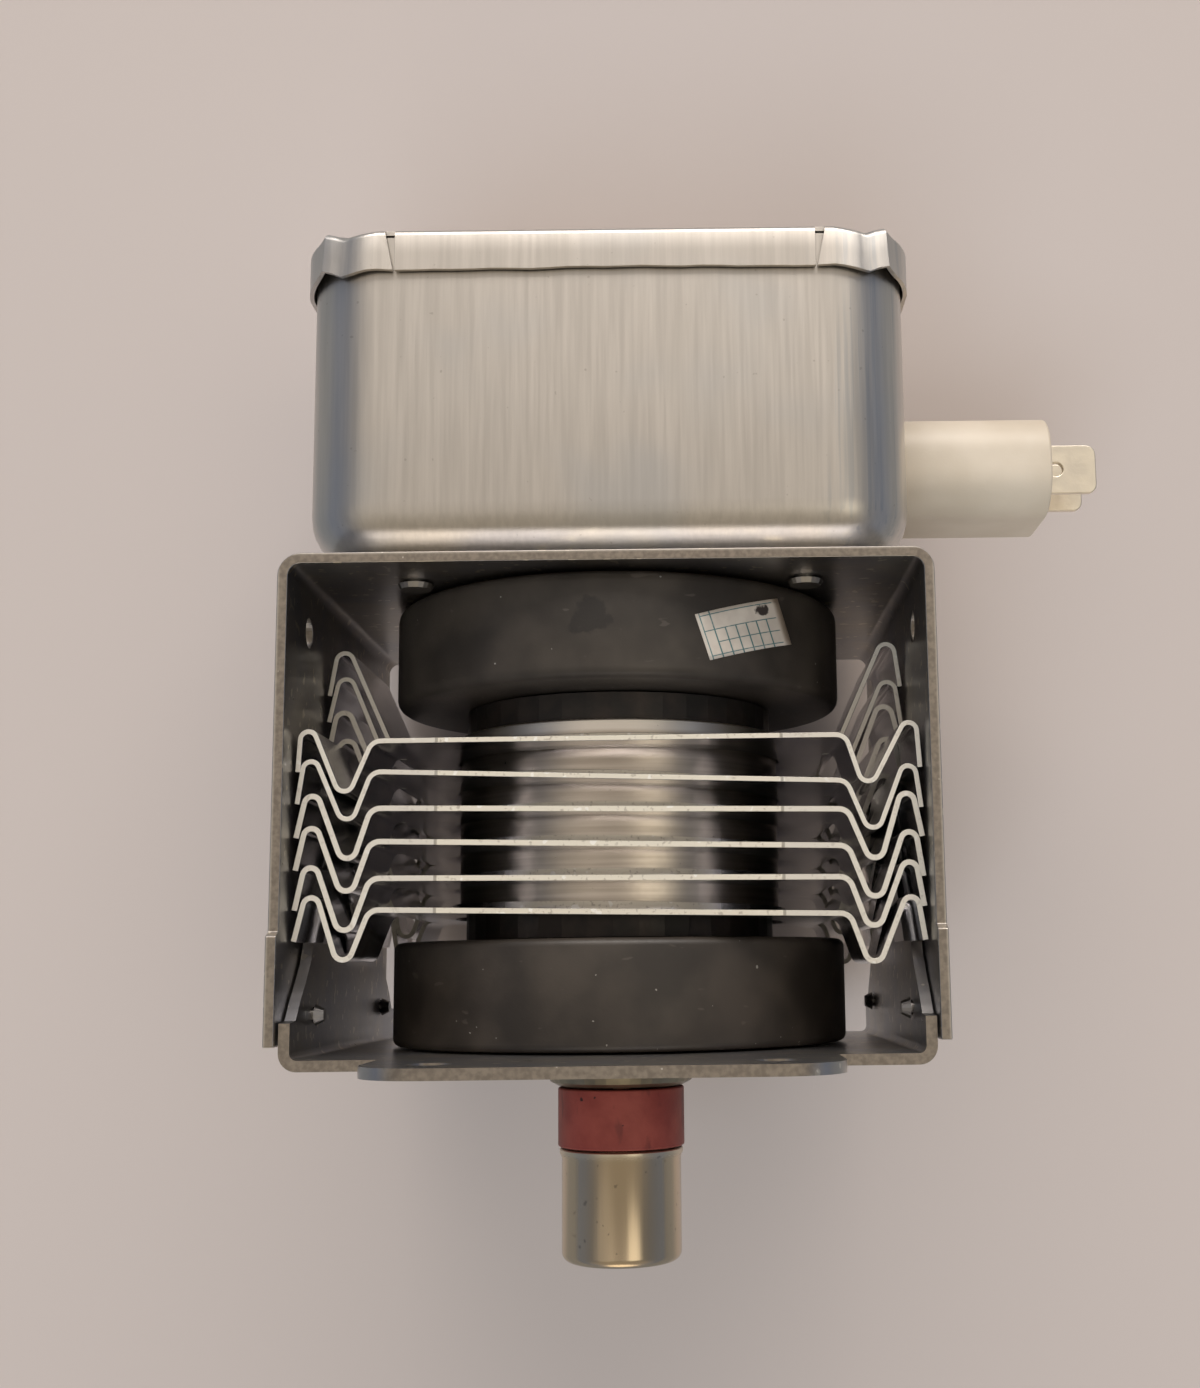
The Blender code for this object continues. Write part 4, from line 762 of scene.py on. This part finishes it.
def makeFilterLid():
    size = lidSize
    half = size["sheet"] / 2
    random = np.random.default_rng(11)
    curve = np.linspace(0, np.pi / 2, 6)
    insets = np.concatenate([half + size["edge"] * (1 - np.sin(curve)), [half, half]])
    levels = np.concatenate([size["top"] + half + size["edge"] * (1 - np.cos(curve)),
                             [size["top"] + size["lip"] * 0.6, size["top"] + size["lip"]]])
    straight = (size["halfX"] - size["corner"], size["halfY"] - size["corner"])
    angles, outwards, downwards = size["folds"]
    rings = []
    for inset, level in zip(insets, levels):
        ring = roundedLoop(size["halfX"] - inset, size["halfY"] - inset, size["corner"] - inset, 14, 24)
        fromCorner = np.maximum(np.abs(ring) - straight, 0)
        degrees = np.degrees(np.arctan2(*fromCorner.T)) * (fromCorner.min(1) > 0)
        away = fromCorner / np.maximum(np.linalg.norm(fromCorner, axis=1), 0.001)[:, None] * np.sign(ring)
        ring = ring + away * np.interp(degrees, angles, outwards)[:, None]
        rings.append(np.column_stack([ring, level + np.interp(degrees, angles, downwards)]))
    count = len(rings[0])
    beside = np.clip((np.abs(rings[-1][:, 0]) - (size["halfX"] - size["corner"] * 0.35))
                     / (size["corner"] * 0.35 - half), 0, 1)
    beside = beside * beside * (3 - 2 * beside)
    ragged = np.convolve(random.normal(0, size["ragged"], count), (0.25, 0.5, 0.25), "same")
    rings[-1][:, 2] += beside * (size["sideLip"] - size["lip"]) + ragged
    rings[-2][:, 2] += beside * (size["sideLip"] - size["lip"]) * 0.5
    flap = np.clip((np.abs(rings[-1][:, 0]) - size["slitX"]) / 3.0, 0, 1) * (1 - beside)
    for ring, share in ((rings[-1], 1.0), (rings[-2], 0.5)):  # corner flaps stand off the box a little
        ring[:, :2] *= (1 + 0.007 * share * flap)[:, None]
    flat = [np.column_stack([share * rings[0][:, :2], np.full(count, size["top"] + half)])
            for share in (0.0, 0.6, 0.97)]
    rows = flat + rings
    lid = addPiece("filterCover", np.concatenate(rows), gridFaces(len(rows), count, False, True), box,
                   ["filter_lid"])
    addWall(lid, size["sheet"])
    points, faces = [], []
    for sideX in (-1, 1):
        for sideY in (-1, 1):
            outline = np.array([(0, -1.0), (size["slitTop"], -1.0), (size["slitTop"], 0.6),
                                (size["slitEnd"], size["lip"] + 0.6), (0, size["lip"] + 0.6)])
            wedge = [np.column_stack([sideX * (size["slitX"] + outline[:, 0]), np.full(5, sideY * y),
                                      size["top"] + outline[:, 1]]) for y in (29.5, 32.0)]
            faces.append(gridFaces(2, 5, False, True, start=sum(len(part) for part in points)))
            points += wedge
    addCut(lid, np.concatenate(points), np.concatenate(faces))
    addEdgeRound(lid, size["edgeRound"])
    return settle(lid)


# Turned pieces
turnedSizes = {
    "ringMagnetInput": {"outer": 28.0, "bore": 10.6, "low": -55.15, "high": -42.75, "edge": 1.3},
    "ringMagnetOutput": {"outer": 28.0, "bore": 10.6, "low": -13.85, "high": -1.45, "edge": 0.9},
    "anodeShell": {"outer": 20.0, "bore": 17.6, "low": -39.35, "high": -17.25, "edge": 0.35},
    "antennaCeramic": {"outer": 7.8, "bore": 5.8, "low": 3.95, "high": 11.05, "edge": 0.25},
}


def makeRing(name, look, replaced):
    size = turnedSizes[name]
    corners = [(size["outer"], size["high"]), (size["outer"], size["low"]), (size["bore"], size["low"]),
               (size["bore"], size["high"])]
    profile = roundedProfile(corners, size["edge"])
    points, faces = turnedGrid(profile, 160)
    return addPiece(name, points, faces, look, [replaced])


capSize = {"outer": 7.35, "wall": 0.5, "low": 11.3, "high": 24.75, "corner": 1.15, "lip": 0.25,
           "lipHeight": 0.9}


def makeCap():
    # the outer line from the middle of the end, round its edge, down to the rolled lip, and back inside
    size = capSize
    outer, low, high = size["outer"], size["low"], size["high"]
    outside = bendPath([(0.0, high), (outer, high), (outer, low + size["lipHeight"] + 0.2)],
                       size["corner"], 14)
    lip = [(outer + size["lip"], low + size["lipHeight"] * 0.6), (outer + size["lip"], low + 0.12),
           (outer + size["lip"] - 0.12, low), (outer - size["wall"], low)]
    inner = outer - size["wall"]
    inside = bendPath([(inner, low + 0.1), (inner, high - size["wall"]), (0.0, high - size["wall"])],
                      size["corner"] - size["wall"], 8)
    points, faces = turnedGrid(np.concatenate([outside, lip, inside]), 160)
    return addPiece("antennaCap", points, faces, capMetal, ["antenna_cap"])


# Connector: the case's rounded section carried along x, its two blades through slots
caseSize = {"halfZ": 6.5, "halfY": 9.6, "corner": 5.6, "from": 26.0, "to": 55.1, "z": -73.35, "edge": 0.45,
            "bladeY": 4.1, "slotHalfZ": 3.45, "slotHalfY": 0.65}
bladeSize = {"from": 24.5, "to": 61.8, "halfZ": 3.2, "thick": 0.8, "nose": 1.2, "hole": 0.9,
             "holeX": 56.6, "edge": 0.16}


def makeCase():
    size = caseSize
    curve = np.linspace(0, np.pi / 2, 5)
    insets = np.concatenate([size["edge"] * (1 - np.sin(curve)), size["edge"] * (1 - np.cos(curve))])
    ends = np.concatenate([size["from"] + size["edge"] * (1 - np.cos(curve)),
                           size["to"] - size["edge"] + size["edge"] * np.sin(curve)])
    rows = []
    for inset, x in zip(insets, ends):
        loop = roundedLoop(size["halfZ"] - inset, size["halfY"] - inset, size["corner"] - inset, 12)
        rows.append(np.column_stack([np.full(len(loop), x), loop[:, 1], size["z"] + loop[:, 0]]))
    first, last = rows[0] * (1, 0, 0) + (0, 0, size["z"]), rows[-1] * (1, 0, 0) + (0, 0, size["z"])
    rows = [first] + rows + [last]
    piece = addPiece("connectorCase", np.concatenate(rows), gridFaces(len(rows), len(rows[0]), False, True),
                     case, ["capacitor_case"])
    points, faces = [], []
    for side in (-1, 1):
        loop = roundedLoop(size["slotHalfZ"], size["slotHalfY"], 0.1, 2)
        points += [np.column_stack([np.full(len(loop), x), side * size["bladeY"] + loop[:, 1],
                                    size["z"] + loop[:, 0]]) for x in (size["from"] - 2, size["to"] + 2)]
        faces.append(gridFaces(2, len(loop), False, True, start=(1 + side) * len(loop)))
    addCut(piece, np.concatenate(points), np.concatenate(faces))
    return settle(piece)


def makeBlade(name, side, replaced):
    size = bladeSize
    high, nose = size["halfZ"], size["nose"]
    outline = bendPath([(size["from"], -high), (size["to"], -high), (size["to"], high),
                        (size["from"], high)], nose, 4)
    faces = [tuple(range(len(outline)))]
    points = np.column_stack([outline[:, 0], np.full(len(outline), side * caseSize["bladeY"]),
                              caseSize["z"] + outline[:, 1]])
    piece = addPiece(name, points, faces, blade, [replaced])
    addWall(piece, size["thick"])
    hole = [((size["holeX"], side * caseSize["bladeY"], caseSize["z"]), (0, 1, 0), size["hole"])]
    addCut(piece, *drillBits(hole, 4.0))
    addEdgeRound(piece, size["edge"])
    return settle(piece)


# Label: a patch of the magnet's curved face, ruled with plain lines and left without words
labelSize = {"radius": 28.04, "thick": 0.06, "across": 10.2, "up": 5.45, "middle": (15.5, -49.05),
             "turn": -17.9}


def makeLabel():
    size = labelSize
    finish = Finish("paperLabel", 0.0, 0.55)
    u = finish.node("ShaderNodeUVMap", {"uv_map": "labelPlace"})
    across = finish.node("ShaderNodeSeparateXYZ", values={0: u}, output="X")
    up = finish.node("ShaderNodeSeparateXYZ", values={0: u}, output="Y")

    def line(value, at, half):  # 1 within half of at
        return abs(value - at).rise(half + 0.006, half - 0.002)

    rules = line(across, 0.16, 0.006).highest(line(up, 0.60, 0.008))
    rules = rules.highest(line(up, 0.33, 0.008) * across.rise(0.15, 0.17))
    for column in range(1, 6):
        rules = rules.highest(line(across, 0.16 + 0.125 * column, 0.006) * up.rise(0.61, 0.59))
    frameLine = line(up, 0.07, 0.008).highest(line(up, 0.93, 0.008)).highest(line(across, 0.04, 0.006))
    rules = (rules.highest(frameLine)) * across.rise(0.92, 0.90) * across.rise(0.03, 0.04)
    faded = finish.noise(1.6, 2.0).rise(0.2, 0.5) * 0.4 + 0.6
    paper = finish.mix(finish.noise(0.5, 2.0).rise(0.3, 0.7), (0.60, 0.53, 0.46), (0.68, 0.61, 0.53))
    paper = finish.mix(across.rise(0.90, 0.96) * 0.6, paper, (0.42, 0.33, 0.25))
    blotX, blotY = (across - 0.77) * 9.0, (up - 0.80) * 7.0
    blot = (blotX * blotX + blotY * blotY + (finish.noise(1.3, 3.0) - 0.5) * 1.6).rise(0.75, 0.35)
    colour = finish.mix(rules * faded, paper, (0.07, 0.17, 0.18))
    finish.feed("Base Color", finish.mix(blot, colour, (0.045, 0.035, 0.032)))
    finish.bump(finish.noise(1.8, 3.0), 0.2, 0.00008)
    rows, columns = 9, 13
    s, t = np.meshgrid(np.linspace(-0.5, 0.5, columns), np.linspace(-0.5, 0.5, rows))
    turn = math.radians(size["turn"])
    x = size["middle"][0] + s * size["across"] * math.cos(turn) - t * size["up"] * math.sin(turn)
    z = size["middle"][1] + s * size["across"] * math.sin(turn) + t * size["up"] * math.cos(turn)
    points = np.stack([x, np.sqrt(size["radius"] ** 2 - x * x), z], -1)
    piece = addPiece("paperLabel", points, gridFaces(rows, columns), finish)
    layer = piece.data.uv_layers.new(name="labelPlace")
    corners = np.empty(len(piece.data.loops), int)
    piece.data.loops.foreach_get("vertex_index", corners)
    places = np.empty(len(piece.data.vertices) * 3)
    piece.data.vertices.foreach_get("co", places)
    own = (places.reshape(-1, 3) - axisOrigin) @ toTable.T * 1000
    dx, dz = own[:, 0] - size["middle"][0], own[:, 2] - size["middle"][1]
    uv = np.column_stack([(dx * math.cos(turn) + dz * math.sin(turn)) / size["across"] + 0.5,
                          0.5 - (dz * math.cos(turn) - dx * math.sin(turn)) / size["up"]])
    layer.data.foreach_set("uv", uv[corners].ravel())
    addWall(piece, size["thick"])
    return settle(piece)


makeYoke()
makeMountingPlate()
print("yoke and plate made")
for finNumber in range(6):
    makeFin(finNumber)
print("fins made")
makeFilterBox()
makeFilterLid()
print("filter box made")
makeRing("ringMagnetInput", ferrite, "magnet_input")
makeRing("ringMagnetOutput", ferrite, "magnet_output")
makeRing("anodeShell", anodeMetal, "anode_cylinder")
makeRing("antennaCeramic", ceramic, "antenna_insulator")
makeCap()
makeCase()
makeBlade("bladeFront", 1, "terminal_blade_front")
makeBlade("bladeRear", -1, "terminal_blade_rear")
makeLabel()
print("turned pieces, connector and label made")

# Camera: where the photograph was taken from, in axis millimetres, and the part of the picture kept
view = {"place": (9.25, 208.28, -10.43), "right": (0.99993, 0.00046, 0.01218),
        "down": (-0.01197, -0.15071, 0.98851), "focal": 1638.8, "middle": (694.9, 718.1),
        "picture": (1200, 1388), "sensor": 36.0}


def addCamera():
    data = bpy.data.cameras.new("camera")
    data.sensor_width = view["sensor"]
    data.lens = view["focal"] / view["picture"][1] * view["sensor"]
    data.shift_x = (view["picture"][0] / 2 - view["middle"][0]) / view["picture"][1]
    data.shift_y = (view["middle"][1] - view["picture"][1] / 2) / view["picture"][1]
    data.clip_start = 0.01
    data.clip_end = 20.0
    right = np.array(view["right"]) @ toTable
    down = np.array(view["down"]) @ toTable
    down -= right * (right @ down)
    right, down = right / np.linalg.norm(right), down / np.linalg.norm(down)
    back = np.cross(right, -down)
    camera = bpy.data.objects.new("camera", data)
    bpy.context.scene.collection.objects.link(camera)
    place = onTable(view["place"])[0]
    camera.matrix_world = Matrix([[*row, p] for row, p in zip(np.stack([right, -down, back], 1), place)]
                                 + [[0, 0, 0, 1]])
    bpy.context.scene.camera = camera


# Stage: a pale floor, dim beyond the sheet in what the metal mirrors, under a soft sky and two lamps
stageLook = {"paper": (0.565, 0.500, 0.474), "beyond": (0.29, 0.30, 0.31), "sheet": (0.08, 0.15),
             "size": 2.4, "backdrop": (0.56, 0.51, 0.48)}
skyLook = {"horizon": (0.21, 0.24, 0.31), "zenith": (0.21, 0.20, 0.19)}
# parts of the sky: the way to its middle, what it adds, and the cosines of its outer and inner edge
skyParts = {
    "ceiling": {"way": (-0.05, 0.52, 0.85), "adds": (0.36, 0.31, 0.26), "edges": (0.70, 0.97)},
    "window": {"way": (0.05, 0.94, 0.33), "adds": (2.3, 2.05, 1.85), "edges": (0.90, 0.985)},
    "stripRight": {"way": (0.42, 0.03, 0.90), "adds": (1.2, 1.08, 0.86), "edges": (0.955, 0.992)},
    "glowLeft": {"way": (-0.50, 0.03, 0.86), "adds": (0.26, 0.23, 0.19), "edges": (0.90, 0.985)},
    "behind": {"way": (0.0, -0.70, 0.70), "adds": (0.20, 0.15, 0.08), "edges": (0.55, 0.95)},
    "lowFront": {"way": (0.0, -0.94, 0.34), "adds": (1.4, 1.15, 0.8), "edges": (0.93, 0.985)},
}
lamps = {
    "window": {"place": (0.10, 1.30, 0.62), "size": (1.6, 0.6), "power": 13.0, "colour": (1.0, 0.94, 0.87)},
    # lights the paper and the plastic without showing in the metal
    "fill": {"place": (-0.25, -0.60, 1.55), "size": (0.9, 0.9), "power": 10.0, "colour": (0.74, 0.87, 1.0),
             "mirrored": False},
}


def addFloor():
    # one square; past the sheet its colour falls off for every ray but the camera's
    finish = Finish("paperFloor", 0.0, 0.9)
    place = finish.node("ShaderNodeTexCoord", output="Object")
    distance = finish.node("ShaderNodeVectorMath", {"operation": "LENGTH"}, {0: place}, "Value")
    seen = finish.node("ShaderNodeLightPath", output="Is Camera Ray")
    far = distance.rise(*stageLook["sheet"]) * (1.0 - seen)
    finish.feed("Base Color", finish.mix(far, stageLook["paper"], stageLook["beyond"]))
    half, low = stageLook["size"], -0.0002
    mesh = bpy.data.meshes.new("floor")
    corners = [(-half, -half, low), (half, -half, low), (half, half, low), (-half, half, low)]
    mesh.from_pydata(corners, [], [(0, 1, 2, 3)])
    mesh.materials.append(finish.material)
    floor = bpy.data.objects.new("floor", mesh)
    bpy.context.scene.collection.objects.link(floor)


def addSky():
    # horizon to zenith by height, plus each part by how near its way lies; the camera sees the backdrop
    world = bpy.data.worlds.new("sky")
    world.use_nodes = True
    sheet = NodeSheet(world.node_tree)
    way = sheet.node("ShaderNodeTexCoord", output="Generated")
    height = sheet.along(way, (0.0, 0.0, 1.0))
    colour = sheet.mix(height.rise(0.0, 0.9), skyLook["horizon"], skyLook["zenith"])
    for part in skyParts.values():
        near = sheet.along(way, Vector(part["way"]).normalized()).rise(*part["edges"])
        added = sheet.mix(near, (0.0, 0.0, 0.0), part["adds"])
        colour = sheet.node("ShaderNodeVectorMath", {"operation": "ADD"}, {0: colour, 1: added})
    seen = sheet.node("ShaderNodeLightPath", output="Is Camera Ray")
    colour = sheet.mix(seen, colour, stageLook["backdrop"])
    background = world.node_tree.nodes["Background"]
    world.node_tree.links.new(colour.socket, background.inputs["Color"])
    bpy.context.scene.world = world


def addLamps():
    for name, lamp in lamps.items():
        data = bpy.data.lights.new(name, "AREA")
        data.shape = "RECTANGLE"
        data.size, data.size_y = lamp["size"]
        data.energy = lamp["power"]
        data.color = lamp["colour"]
        item = bpy.data.objects.new(name, data)
        bpy.context.scene.collection.objects.link(item)
        item.visible_glossy = lamp.get("mirrored", True)
        place = Vector(lamp["place"])
        item.location = place
        item.rotation_euler = (place - Vector((0.0, 0.0, 0.05))).to_track_quat("Z", "Y").to_euler()


addCamera()
addFloor()
addSky()
addLamps()
bpy.context.scene.view_settings.view_transform = "Standard"
print("camera, floor and lamps set")
